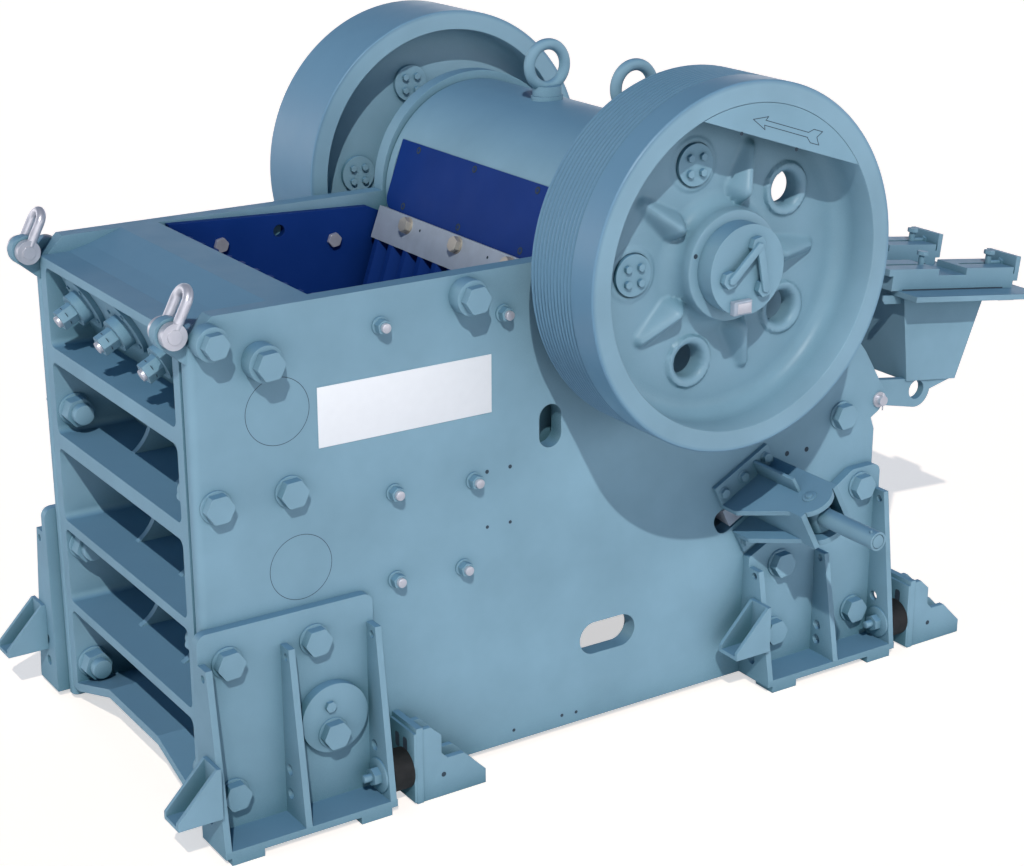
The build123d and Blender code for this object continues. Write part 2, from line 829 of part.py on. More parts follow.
cheek_start = cheek_front_x - frame_depth
with BuildPart() as upper_cheek:
    with BuildSketch(Plane.XZ.offset(inner - cheek_thickness)):
        with BuildLine():
            Polyline(
                (at(cheek_front_x), down(cheek_front_depth)),
                (at(cheek_rear_x), down(cheek_rear_depth)),
                (at(cheek_tip_x), down(cheek_tip_depth)),
                (jaw_line(cheek_split_depth) + cheek_lap, down(cheek_split_depth)),
                (frame_line(cheek_split_depth) + cheek_start, down(cheek_split_depth)),
                close=True,
            )
        make_face()
        with Locations((at(cheek_hole_x), down(cheek_hole_depth))):
            Circle(cheek_bolt_radius, mode=Mode.SUBTRACT)
    extrude(amount=cheek_thickness)
keep_both(upper_cheek, "upper_cheek")

lower_top = cheek_split_depth + cheek_split_gap
with BuildPart() as lower_cheek:
    with BuildSketch(Plane.XZ.offset(inner - cheek_thickness)):
        with BuildLine():
            Polyline(
                (frame_line(lower_top) + cheek_start, down(lower_top)),
                (jaw_line(lower_top) + cheek_lap, down(lower_top)),
                (jaw_line(cheek_foot_depth) + cheek_lap, down(cheek_foot_depth)),
                (frame_line(cheek_foot_depth) + cheek_start, down(cheek_foot_depth)),
                close=True,
            )
        make_face()
    extrude(amount=cheek_thickness)
keep_both(lower_cheek, "lower_cheek")

# Cylinders that drive the adjusting wedges, each hung in a welded bracket on the side plate
adjuster_shift = 163
adjuster_drop = 5
flange_low, flange_high = 85, 175
flange_start, flange_end = -51, 253
bracket_plate = 24
bracket_flange = 20
bracket_reach = 337
bracket_shoulder = 100
nose_radius = 95
web_setting = 92
web_reach = 395
trunnion_radius = 58
trunnion_height = 120
cylinder_radius = 39
cylinder_end = 700
cylinder_bore_radius = 30
cylinder_rim = 12
piston_radius = 20
bracket_pin_radius = 16
bracket_pin_lip = 8
pack_center = along_toggle(seat_block_depth + wedge_pack_depth / 2)
adjuster_plane = Plane(
    origin=(pack_center[0], -outer, pack_center[1]),
    x_dir=(toggle_axis[0], 0, toggle_axis[1]),
    z_dir=(toggle_side[0], 0, toggle_side[1]),
)


def bracket_outline():
    """Bracket plate seen along the pin: straight at the side plate, round at the nose."""
    with BuildSketch() as outline:
        with BuildLine():
            Polyline(
                (flange_start, 0),
                (flange_end, 0),
                (adjuster_shift + nose_radius, bracket_shoulder),
                (adjuster_shift + nose_radius, bracket_reach),
                (adjuster_shift - nose_radius, bracket_reach),
                (flange_start, bracket_shoulder),
                close=True,
            )
        make_face()
        with Locations((adjuster_shift, bracket_reach)):
            Circle(nose_radius)
    return mirror(outline.sketch, about=Plane.XZ)


upper_face = flange_low
lower_face = -flange_low - adjuster_drop * 2
with BuildPart() as adjuster_bracket:
    for level in (upper_face - bracket_plate, lower_face):
        with BuildSketch(adjuster_plane.offset(level)):
            add(bracket_outline())
        extrude(amount=bracket_plate)
    with BuildSketch(adjuster_plane.offset(lower_face)):
        for side in sides:
            with Locations((adjuster_shift + side * web_setting, -web_reach / 2)):
                Rectangle(bracket_plate, web_reach)
    extrude(amount=upper_face - lower_face)
    flange_width = flange_end - flange_start
    with BuildSketch(adjuster_plane.offset(upper_face - bracket_plate)):
        with Locations((flange_start + flange_width / 2, -bracket_flange / 2)):
            Rectangle(flange_width, bracket_flange)
    extrude(amount=flange_high - upper_face + bracket_plate)
    with BuildSketch(adjuster_plane.offset(lower_face - flange_high + flange_low)):
        with Locations((flange_start + flange_width / 2, -bracket_flange / 2)):
            Rectangle(flange_width, bracket_flange)
    extrude(amount=flange_high - flange_low + bracket_plate)
    with BuildSketch(adjuster_plane.offset(lower_face)):
        with Locations((adjuster_shift, -bracket_reach)):
            Circle(bracket_pin_radius)
    extrude(amount=upper_face - lower_face, mode=Mode.SUBTRACT)
keep_both(adjuster_bracket, "adjuster_bracket")

adjuster_middle = (upper_face + lower_face) / 2
cylinder_origin = adjuster_plane.from_local_coords((adjuster_shift, 0, adjuster_middle))
with BuildPart() as adjuster_cylinder:
    with BuildSketch(adjuster_plane.offset(adjuster_middle - trunnion_height / 2)):
        with Locations((adjuster_shift, -bracket_reach)):
            Circle(trunnion_radius)
    extrude(amount=trunnion_height)
    with BuildSketch(Plane(origin=cylinder_origin, x_dir=(1, 0, 0), z_dir=(0, -1, 0))):
        Circle(piston_radius)
    extrude(amount=bracket_reach)
    with BuildSketch(Plane(origin=cylinder_origin, x_dir=(1, 0, 0), z_dir=(0, -1, 0)).offset(bracket_reach)):
        Circle(cylinder_radius)
    extrude(amount=cylinder_end - bracket_reach)
    with BuildSketch(Plane(origin=cylinder_origin, x_dir=(1, 0, 0), z_dir=(0, -1, 0)).offset(cylinder_end)):
        Circle(cylinder_bore_radius)
    extrude(amount=-cylinder_rim, mode=Mode.SUBTRACT)
    with BuildSketch(adjuster_plane.offset(lower_face)):
        with Locations((adjuster_shift, -bracket_reach)):
            Circle(bracket_pin_radius)
    extrude(amount=upper_face - lower_face + bracket_pin_lip)
keep_both(adjuster_cylinder, "adjuster_cylinder")

# Mounting feet: a bolted side plate, a base and three pierced gussets, welded into one
foot_length = 712
foot_reach = 195
foot_plate_thickness = 40
foot_base_thickness = 28
foot_top_depth = 1140
foot_corner = 40
front_mount_x = 40
rear_mount_x = 2550
gusset_thickness = 26
gusset_top_reach = 105
gusset_top_depth = 1250
gusset_hole_radii = [15, 22, 22]
gusset_insets = [0, 326, 682]
rear_gusset_insets = [0, 360, 682]
gusset_hole_shares = [0.055, 0.725, 0.87]
gusset_hole_reach_share = 0.75
low_gusset_drop = 45
bracket_gap = 22
rear_step_x, rear_step_drop = 3020, 25
rear_crown_x = 3105
foot_pad_length = 130
foot_pad_width = 110
foot_pad_inset = 25
foot_outer = outer + foot_reach


def foot(start_x, insets, gusset_depths, outline):
    """A right-hand foot whose base starts at a distance behind the front face."""
    with BuildPart() as body:
        with BuildSketch(Plane.XZ.offset(outer)) as plate:
            with BuildLine():
                Polyline(*outline, close=True)
            make_face()
            fillet(plate.vertices().sort_by(Axis.Y)[-2:], radius=foot_corner)
        extrude(amount=foot_plate_thickness)
        with BuildSketch(Plane.XY.offset(pad_height)):
            with Locations((at(start_x) + foot_length / 2, -outer - foot_reach / 2)):
                Rectangle(foot_length, foot_reach)
        extrude(amount=foot_base_thickness)
        for inset, depth in zip(insets, gusset_depths):
            with BuildSketch(Plane.YZ.offset(at(start_x) + inset)):
                with BuildLine():
                    Polyline(
                        (-outer, pad_height),
                        (-foot_outer, pad_height),
                        (-foot_outer, pad_height + foot_base_thickness),
                        (-outer - gusset_top_reach, down(depth)),
                        (-outer, down(depth)),
                        close=True,
                    )
                make_face()
                height = plate_height - foot_base_thickness - depth
                hole_y = -outer - gusset_top_reach * gusset_hole_reach_share
                for share, radius in zip(gusset_hole_shares, gusset_hole_radii):
                    with Locations((hole_y, down(depth + height * share))):
                        Circle(radius, mode=Mode.SUBTRACT)
            extrude(amount=gusset_thickness)
        with BuildSketch():
            fore_pad = at(start_x) + foot_pad_inset
            aft_pad = at(start_x) + foot_length - foot_pad_inset - foot_pad_length
            with Locations((fore_pad, -foot_outer), (aft_pad, -foot_outer)):
                Rectangle(foot_pad_length, foot_pad_width, align=(Align.MIN, Align.MIN))
        extrude(amount=pad_height)
    return body


def under_bracket(distance):
    """Depth of the line just under the adjuster bracket's lower flange."""
    flange_foot = lower_face - flange_high + flange_low
    corner = adjuster_plane.from_local_coords((flange_start, 0, flange_foot - bracket_gap))
    return plate_top - corner.Z - (at(distance) - corner.X) * tan(toggle_angle)


front_outline = [
    (at(front_mount_x), pad_height),
    (at(front_mount_x), down(foot_top_depth)),
    (at(front_mount_x + foot_length), down(foot_top_depth)),
    (at(front_mount_x + foot_length), pad_height),
]
front_foot = foot(front_mount_x, gusset_insets, [gusset_top_depth] * 3, front_outline)
keep_both(front_foot, "front_foot")

rear_low_depth = under_bracket(rear_mount_x)
rear_step_depth = under_bracket(rear_step_x) + rear_step_drop
low_gusset_depth = rear_low_depth + low_gusset_drop
rear_outline = [
    (at(rear_mount_x), pad_height),
    (at(rear_mount_x), down(rear_low_depth)),
    (at(rear_step_x), down(rear_step_depth)),
    (at(rear_crown_x), down(foot_top_depth)),
    (at(rear_mount_x + foot_length), down(foot_top_depth)),
    (at(rear_mount_x + foot_length), pad_height),
]
rear_depths = [low_gusset_depth, low_gusset_depth, gusset_top_depth]
rear_foot = foot(rear_mount_x, rear_gusset_insets, rear_depths, rear_outline)
keep_both(rear_foot, "rear_foot")

# Rubber buffers behind each foot and the stepped brackets they bear on
buffer_radius = 80
buffer_length = 84
buffer_center_reach = 105
buffer_center_height = 130
stop_plate_thickness = 28
stop_length = 320
stop_height = 345
stop_step_height = 190
stop_step_length = 90
stop_reach = 180
stop_web = 24
stop_starts = [front_mount_x + foot_length + buffer_length, rear_mount_x + foot_length + buffer_length]
with BuildPart() as rubber_buffers:
    for start in stop_starts:
        with BuildSketch(Plane.YZ.offset(at(start) - buffer_length)):
            with Locations(*[(side * (outer + buffer_center_reach), buffer_center_height) for side in sides]):
                Circle(buffer_radius)
        extrude(amount=buffer_length)
keep(rubber_buffers, "rubber_buffers")


def stop_bracket(start):
    """Right-hand stepped bracket: a plate across the buffer and two webs behind it."""
    with BuildPart() as body:
        with BuildSketch(Plane.YZ.offset(at(start))):
            with Locations((-outer - stop_reach / 2, stop_height / 2)):
                Rectangle(stop_reach, stop_height)
        extrude(amount=stop_plate_thickness)
        for reach in (stop_reach, stop_reach / 2):
            with BuildSketch(Plane.XZ.offset(outer + reach - stop_web)):
                with BuildLine():
                    Polyline(
                        (at(start), 0),
                        (at(start), stop_height),
                        (at(start) + stop_step_length, stop_height),
                        (at(start) + stop_step_length, stop_step_height),
                        (at(start) + stop_length - stop_step_length, stop_step_height),
                        (at(start) + stop_length, stop_step_height - stop_step_length),
                        (at(start) + stop_length, 0),
                        close=True,
                    )
                make_face()
            extrude(amount=stop_web)
    return body


front_stop = stop_bracket(stop_starts[0])
keep_both(front_stop, "front_stop")
rear_stop = stop_bracket(stop_starts[1])
keep_both(rear_stop, "rear_stop")

# Sloped brackets on the front edge of each foot
nose_height = 200
nose_base_height = 200
nose_width = 120
nose_plate = 16
nose_length = nose_reach + front_mount_x


def nose_bracket(start_x):
    """Right-hand sloped bracket ahead of a foot: two webs on a floor plate, open to the slope."""
    x0 = at(start_x)
    top = nose_base_height + nose_height
    with BuildPart() as body:
        with BuildSketch(Plane.XZ.offset(foot_outer - nose_width)):
            with BuildLine():
                Polyline(
                    (x0, nose_base_height),
                    (x0 - nose_length, nose_base_height),
                    (x0 - nose_length, nose_base_height + 2 * nose_plate),
                    (x0 - nose_plate, top),
                    (x0, top),
                    close=True,
                )
            make_face()
        extrude(amount=nose_width)
        with BuildSketch(Plane.XZ.offset(foot_outer - nose_width + nose_plate)):
            with Locations((x0 - nose_plate, nose_base_height + nose_plate)):
                Rectangle(nose_length, nose_height, align=(Align.MAX, Align.MIN))
        extrude(amount=nose_width - 2 * nose_plate, mode=Mode.SUBTRACT)
    return body


keep_both(nose_bracket(front_mount_x), "front_nose")
keep_both(nose_bracket(rear_mount_x), "rear_nose")

# Bow shackles that hang in the lugs on a round pin each
shackle_plane = Plane(
    origin=(at(pin_x), -lug_y, down(pin_depth)),
    x_dir=(0, 1, 0),
    z_dir=(cos(radians(shackle_lean)), 0, -sin(radians(shackle_lean))),
)
bow_start = shackle_reach - shackle_leg
with BuildPart() as shackle_bow:
    with BuildLine(shackle_plane):
        Line((-shackle_leg, 0), (-shackle_leg, bow_start))
        ThreePointArc((-shackle_leg, bow_start), (0, shackle_reach), (shackle_leg, bow_start))
        Line((shackle_leg, bow_start), (shackle_leg, 0))
    leg_foot = shackle_plane.from_local_coords((-shackle_leg, 0, 0))
    with BuildSketch(Plane(origin=leg_foot, z_dir=shackle_plane.y_dir)):
        Circle(shackle_bar / 2)
    sweep()
    for side in sides:
        with BuildSketch(Plane.XZ.offset(lug_y + side * shackle_leg - shackle_eye_thickness / 2)):
            with Locations((at(pin_x), down(pin_depth))):
                Circle(shackle_eye_radius)
        extrude(amount=shackle_eye_thickness)
    with BuildSketch(Plane.XZ.offset(lug_y)):
        with Locations((at(pin_x), down(pin_depth))):
            Circle(pin_radius + running_clearance)
    extrude(amount=shackle_leg + shackle_bar, both=True, mode=Mode.SUBTRACT)
keep_both(shackle_bow, "shackle_bow")

pin_end = 3
with BuildPart() as shackle_pin:
    with BuildSketch(Plane.XZ.offset(lug_y)):
        with Locations((at(pin_x), down(pin_depth))):
            Circle(pin_radius)
    extrude(amount=shackle_leg + shackle_bar / 2 + pin_end, both=True)
keep_both(shackle_pin, "shackle_pin")

# Lifting eyes screwed into the pitman's barrel
eye_radius = 86
eye_bar = 46
eye_stand = 120
eye_collar_radius = 60
eye_collar_height = 40
eye_seat = barrel_top + eye_boss_height
with BuildPart() as lifting_eyes:
    for y in eye_places:
        with BuildSketch(Plane.XY.offset(eye_seat + eye_stand)):
            with Locations((eccentric_x + eye_radius, y)):
                Circle(eye_bar / 2)
        revolve(axis=Axis((eccentric_x, y, eye_seat + eye_stand), (0, 1, 0)))
        with BuildSketch(Plane.XY.offset(eye_seat)):
            with Locations((eccentric_x, y)):
                Circle(eye_collar_radius)
        extrude(amount=eye_collar_height)
keep(lifting_eyes, "lifting_eyes")

# Bolts of the fixed jaw's wedge, with flange discs, spring collars and long nuts, in the top bay
wedge_flange_radius = 112
wedge_flange_thickness = 20
wedge_collar_radius = 66
wedge_collar_length = 47
wedge_nut_size = 42
wedge_nut_length = 66
wedge_stud_radius = 22
wedge_stud_length = 12
jaw_bolt_stack = [
    (wedge_flange_radius, wedge_flange_thickness),
    (wedge_collar_radius, wedge_collar_length),
    (wedge_stud_radius, wedge_nut_length + wedge_stud_length),
]
nut_seat = wedge_flange_thickness + wedge_collar_length
with BuildPart() as jaw_wedge_bolts:
    for y in (-jaw_bolt_spacing, 0, jaw_bolt_spacing):
        bolt_seat = Plane(
            origin=(at(jaw_bolt_x), y, down(jaw_bolt_depth)),
            x_dir=(0, 1, 0),
            z_dir=(-cos(radians(jaw_bolt_tilt)), 0, -sin(radians(jaw_bolt_tilt))),
        )
        start = 0
        for radius, length in jaw_bolt_stack:
            with BuildSketch(bolt_seat.offset(start)):
                Circle(radius)
            extrude(amount=length)
            start += length
        with BuildSketch(bolt_seat.offset(nut_seat)):
            RegularPolygon(wedge_nut_size, 6)
        extrude(amount=wedge_nut_length)
keep(jaw_wedge_bolts, "jaw_wedge_bolts")

# Motor base: a trapezoid box girder across the rear, hung on the ears of the side plates
base_half = 600
base_shelf_thickness = 24
shelf_out = 118
girder_start_share, girder_end_share = 0.054, 0.686
girder_taper = 97
girder_drop = 407
girder_lip = 8
arm_thickness = 34
arm_hole_u, arm_hole_v, arm_hole_radius = 215, -451, 43
arm_radius = 80
arm_ear_radius = 52
girder_top_start, girder_top_end = base_length * girder_start_share, base_length * girder_end_share
girder_foot_start, girder_foot_end = girder_top_start + girder_taper, girder_top_end - girder_taper
base_plane = Plane(
    origin=(at(base_x), 0, down(base_depth)),
    x_dir=(cos(base_angle), 0, -sin(base_angle)),
    z_dir=(0, -1, 0),
)
arm_middle = base_half - girder_lip - arm_thickness / 2
ear_u = (ear_x - base_x) * cos(base_angle) + (ear_depth - base_depth) * sin(base_angle)
ear_v = (ear_x - base_x) * sin(base_angle) - (ear_depth - base_depth) * cos(base_angle)
with BuildPart() as motor_base:
    with BuildSketch(base_plane):
        with BuildLine():
            Polyline(
                (girder_top_start, -base_shelf_thickness),
                (girder_top_end, -base_shelf_thickness),
                (girder_foot_end, -girder_drop),
                (girder_foot_start, -girder_drop),
                close=True,
            )
        make_face()
    extrude(amount=base_half, both=True)
    with BuildSketch(base_plane.offset(-base_half - shelf_out)):
        with Locations((0, -base_shelf_thickness)):
            Rectangle(base_length, base_shelf_thickness, align=(Align.MIN, Align.MIN))
    extrude(amount=2 * (base_half + shelf_out))
    for side in sides:
        with BuildSketch(base_plane.offset(side * arm_middle - arm_thickness / 2)):
            with BuildLine():
                Polyline(
                    (girder_foot_start, -girder_drop + girder_lip),
                    (girder_foot_end, -girder_drop + girder_lip),
                    (arm_hole_u + arm_radius, arm_hole_v),
                    (arm_hole_u, arm_hole_v - arm_radius),
                    (ear_u, ear_v - arm_ear_radius),
                    (ear_u - arm_ear_radius, ear_v),
                    (ear_u, ear_v + arm_ear_radius),
                    close=True,
                )
            make_face()
            with Locations((arm_hole_u, arm_hole_v)):
                Circle(arm_radius)
            with Locations((ear_u, ear_v)):
                Circle(arm_ear_radius)
        extrude(amount=arm_thickness)
    with BuildSketch(base_plane.offset(-base_half)):
        with Locations((arm_hole_u, arm_hole_v)):
            Circle(arm_hole_radius)
        with Locations((ear_u, ear_v)):
            Circle(ear_pin_radius)
    extrude(amount=2 * base_half, mode=Mode.SUBTRACT)
keep(motor_base, "motor_base")

# Slide rails for the motor, each with two pads and an end plate
rail_width = 185
rail_height = 65
rail_overhang, rail_inset = 40, 75
rail_start, rail_end = -rail_overhang, base_length - rail_inset
rail_fronts = [-600, -110]
rail_pads = [(-66, 295), (398, 295)]
rail_pad_thickness = 30
rail_slot_width = 26
rail_slot_inset = 40
end_plate_thickness = 27
end_plate_low, end_plate_high = 33, 143
with BuildPart() as motor_rails:
    for rail_front in rail_fronts:
        with BuildSketch(base_plane.offset(-rail_front - rail_width)):
            with Locations((rail_start, 0)):
                Rectangle(rail_end - rail_start, rail_height, align=(Align.MIN, Align.MIN))
            for pad_start, pad_length in rail_pads:
                with Locations((pad_start, rail_height)):
                    Rectangle(pad_length, rail_pad_thickness, align=(Align.MIN, Align.MIN))
            with Locations((rail_end, end_plate_low)):
                Rectangle(end_plate_thickness, end_plate_high - end_plate_low, align=(Align.MIN, Align.MIN))
        extrude(amount=rail_width)
        pad_top = Plane(
            origin=base_plane.from_local_coords((0, rail_height, -rail_front - rail_width / 2)),
            x_dir=base_plane.x_dir,
            z_dir=base_plane.y_dir,
        )
        with BuildSketch(pad_top):
            for pad_start, pad_length in rail_pads:
                with Locations((pad_start + pad_length / 2, 0)):
                    SlotOverall(pad_length - 2 * rail_slot_inset, rail_slot_width)
        extrude(amount=rail_pad_thickness, mode=Mode.SUBTRACT)
keep(motor_rails, "motor_rails")

# Pins that hang the motor base on the ears
ear_washer_radius = 34
ear_washer_thickness = 8
ear_pin_tail = 25
with BuildPart() as ear_pins:
    for side in sides:
        with BuildSketch(Plane.XZ.offset(side * base_half)):
            with Locations((at(ear_x), down(ear_depth))):
                Circle(ear_pin_radius)
        extrude(amount=side * (outer + ear_washer_thickness + ear_pin_tail - base_half))
        with BuildSketch(Plane.XZ.offset(side * (base_half - girder_lip - arm_thickness))):
            with Locations((at(ear_x), down(ear_depth))):
                Circle(ear_pin_radius)
        extrude(amount=side * (girder_lip + arm_thickness))
        with BuildSketch(Plane.XZ.offset(side * outer)):
            with Locations((at(ear_x), down(ear_depth))):
                Circle(ear_washer_radius)
        extrude(amount=side * ear_washer_thickness)
keep(ear_pins, "ear_pins")

# Locked screws on the shaft's end caps
with BuildPart() as cap_screws:
    for side in sides:
        with BuildSketch(Plane.XZ.offset(side * wheel_outer_face)):
            with Locations((shaft_x, shaft_z)):
                with PolarLocations(screw_circle, screw_count, start_angle=screw_angle):
                    RegularPolygon(screw_size, 6)
        extrude(amount=side * screw_height)
keep(cap_screws, "cap_screws")
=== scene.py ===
import json
from math import atan2, cos, degrees, hypot, pi, radians, sin

import bmesh
import bpy
from mathutils import Matrix, Vector


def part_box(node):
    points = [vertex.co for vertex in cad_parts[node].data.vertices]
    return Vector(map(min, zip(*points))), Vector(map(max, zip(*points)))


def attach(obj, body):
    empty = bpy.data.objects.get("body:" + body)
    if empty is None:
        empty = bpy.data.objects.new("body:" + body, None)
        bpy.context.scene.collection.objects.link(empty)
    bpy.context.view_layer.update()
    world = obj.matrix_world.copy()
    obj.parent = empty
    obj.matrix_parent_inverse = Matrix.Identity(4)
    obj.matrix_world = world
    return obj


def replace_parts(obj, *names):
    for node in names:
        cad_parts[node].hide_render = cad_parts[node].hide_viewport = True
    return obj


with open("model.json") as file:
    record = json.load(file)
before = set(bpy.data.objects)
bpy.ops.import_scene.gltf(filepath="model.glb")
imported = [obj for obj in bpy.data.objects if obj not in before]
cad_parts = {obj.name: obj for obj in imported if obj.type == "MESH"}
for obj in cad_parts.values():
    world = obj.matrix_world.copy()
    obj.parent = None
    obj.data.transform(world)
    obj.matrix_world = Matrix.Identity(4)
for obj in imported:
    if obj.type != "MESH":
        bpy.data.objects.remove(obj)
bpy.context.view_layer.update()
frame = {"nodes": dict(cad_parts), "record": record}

# The whole machine. Places are given as a plant fitter would measure them: the distance behind an
# upright line 82 mm ahead of the front face, the distance across from the middle, and the depth
# below the top of the side plates.
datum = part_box("front_frame")[0].x * 1000 - 82
plate_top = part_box("front_frame")[1].z * 1000
plate_face = 705


def place(distance, across, depth):
    """Place in millimetres in the machine's own frame."""
    return Vector((datum + distance, across, plate_top - depth))


# Camera, where the photographer stood: ahead of the machine, on the grooved wheel's side and above the
# wheels, turned by about 33 degrees towards the rear and looking down by about 20.
pan, tilt, roll = radians(-33.11), radians(90 - 19.51), radians(-0.07)
camera_data = bpy.data.cameras.new("camera")
camera_data.lens = 72.9
camera_data.clip_end = 100
camera = bpy.data.objects.new("camera", camera_data)
bpy.context.scene.collection.objects.link(camera)
camera.location = place(-2647.7, -6900.7, -1967.3) / 1000
aim = Matrix.Rotation(pan, 4, "Z") @ Matrix.Rotation(tilt, 4, "X") @ Matrix.Rotation(roll, 4, "Z")
camera.matrix_world = Matrix.Translation(camera.location) @ aim
bpy.context.scene.camera = camera
bpy.context.scene.view_settings.view_transform = "Standard"


# The shader tools, shared by every finish: a socket that takes part in Python arithmetic, and a
# material that adds one node at a time.
class Socket:
    """A node's output. A sum or a product with it, on either side, adds a Math node."""

    def __init__(self, finish, output):
        self.finish, self.output = finish, output

    def maths(self, operation, *values):
        return self.finish.node("ShaderNodeMath", {"operation": operation}, dict(enumerate(values)))

    def __add__(self, other):
        return self.maths("ADD", self, other)

    def __mul__(self, other):
        return self.maths("MULTIPLY", self, other)

    __radd__, __rmul__ = __add__, __mul__


class Finish:
    """A node material, or the world, under construction."""

    def __init__(self, name, owner=None):
        self.material = owner or bpy.data.materials.new(name)
        self.material.use_nodes = True
        self.tree = self.material.node_tree
        self.tree.nodes.clear()

    def node(self, kind, settings=None, inputs=None, output=0):
        """Adds a node with its settings, then its inputs, and returns one of its outputs."""
        node = self.tree.nodes.new(kind)
        for key, value in (settings or {}).items():
            if key == "stops":
                ramp = node.color_ramp.elements
                while len(ramp) < len(value):
                    ramp.new(1)
                for stop, (position, colour) in zip(ramp, value):
                    stop.position, stop.color = position, (*colour, 1)
            else:
                setattr(node, key, value)
        for key, value in (inputs or {}).items():
            if isinstance(value, Socket):
                self.tree.links.new(value.output, node.inputs[key])
            elif isinstance(value, tuple) and len(node.inputs[key].default_value) == 4:
                node.inputs[key].default_value = (*value, 1)
            else:
                node.inputs[key].default_value = value
        return Socket(self, node.outputs[output]) if node.outputs else None

    def mix(self, share, first, second):
        """A colour between two colours."""
        settings = {"data_type": "RGBA", "clamp_factor": True}
        return self.node("ShaderNodeMix", settings, {0: share, 6: first, 7: second}, output=2)

    def noise(self, scale, detail=2, roughness=0.5, stretch=(1, 1, 1)):
        """Noise on the machine's own coordinates, in features per metre."""
        spot = self.node("ShaderNodeTexCoord", output="Object")
        if stretch != (1, 1, 1):
            spot = self.node("ShaderNodeMapping", {}, {"Vector": spot, "Scale": stretch})
        inputs = {"Vector": spot, "Scale": scale, "Detail": detail, "Roughness": roughness}
        return self.node("ShaderNodeTexNoise", {}, inputs, output="Fac")

    def band(self, value, low, high):
        """Nought below low, one above high, and a straight run between."""
        inputs = {"Value": value, "From Min": low, "From Max": high}
        return self.node("ShaderNodeMapRange", {"clamp": True}, inputs)

    def vector_maths(self, operation, *values, output="Vector"):
        """Arithmetic on places, directions or lengths."""
        inputs = dict(enumerate(values))
        return self.node("ShaderNodeVectorMath", {"operation": operation}, inputs, output=output)

    def surface(self, inputs):
        """The shader on the material's output."""
        shader = self.node("ShaderNodeBsdfPrincipled", {}, inputs, output="BSDF")
        self.node("ShaderNodeOutputMaterial", {}, {"Surface": shader})
        return self.material


# The studio: a pale floor that keeps the machine's shadow and is lifted towards white where it is
# looked at, one key lamp high behind the camera, and a sky that is bright low down and dark overhead.
floor_mesh = bmesh.new()
bmesh.ops.create_circle(floor_mesh, cap_ends=True, segments=64, radius=30)
floor_data = bpy.data.meshes.new("floor")
floor_mesh.to_mesh(floor_data)
floor = bpy.data.objects.new("floor", floor_data)
bpy.context.scene.collection.objects.link(floor)
pale = Finish("studio_floor")
plain = pale.node("ShaderNodeBsdfPrincipled", {}, {
    "Base Color": pale.mix(pale.noise(0.7, 3), (0.80, 0.80, 0.81), (0.84, 0.84, 0.85)),
    "Roughness": 0.85,
}, output="BSDF")
lifted = pale.node("ShaderNodeBsdfPrincipled", {}, {
    "Base Color": pale.mix(pale.noise(0.7, 3), (0.84, 0.70, 0.575), (0.88, 0.735, 0.60)),
    "Roughness": 0.85,
    "Emission Color": (0.60, 0.60, 0.61),
    "Emission Strength": 1,
}, output="BSDF")


def seen_directly(finish):
    """One where a ray comes from the camera or out of a clear body, and nought for light and gloss."""
    from_camera = finish.node("ShaderNodeLightPath", output="Is Camera Ray")
    through_clear = finish.node("ShaderNodeLightPath", output="Is Transmission Ray")
    return from_camera.maths("MAXIMUM", from_camera, through_clear)


pale_shown = pale.node("ShaderNodeMixShader", {}, {0: seen_directly(pale), 1: plain, 2: lifted})
pale.node("ShaderNodeOutputMaterial", {}, {"Surface": pale_shown})
floor_data.materials.append(pale.material)

sun_data = bpy.data.lights.new("key", "SUN")
sun_data.energy = 1.95
sun_data.angle = radians(0.8)
sun = bpy.data.objects.new("key", sun_data)
bpy.context.scene.collection.objects.link(sun)
sun.matrix_world = Vector((-0.370, -0.608, 0.703)).to_track_quat("Z", "Y").to_matrix().to_4x4()

sky = Finish("sky", bpy.data.worlds.new("sky"))
bpy.context.scene.world = sky.material
heading = sky.node("ShaderNodeTexCoord", output="Generated")
height = sky.node("ShaderNodeSeparateXYZ", {}, {0: heading}, output="Z")
sky_stops = [
    (0.500, (1.95, 1.92, 1.98)),
    (0.575, (1.85, 1.82, 1.90)),
    (0.640, (0.02, 0.09, 0.20)),
    (1.000, (0.00, 0.02, 0.08)),
]
sky_colour = sky.node("ShaderNodeValToRGB", {"stops": sky_stops}, {"Fac": height * 0.5 + 0.5})
sky_light = sky.node("ShaderNodeBackground", {}, {"Color": sky_colour, "Strength": 1})
sky_white = sky.node("ShaderNodeBackground", {}, {"Color": (1.0, 1.0, 1.0), "Strength": 1})
sky_shown = sky.node("ShaderNodeMixShader", {}, {0: seen_directly(sky), 1: sky_light, 2: sky_white})
sky.node("ShaderNodeOutputWorld", {}, {"Surface": sky_shown})


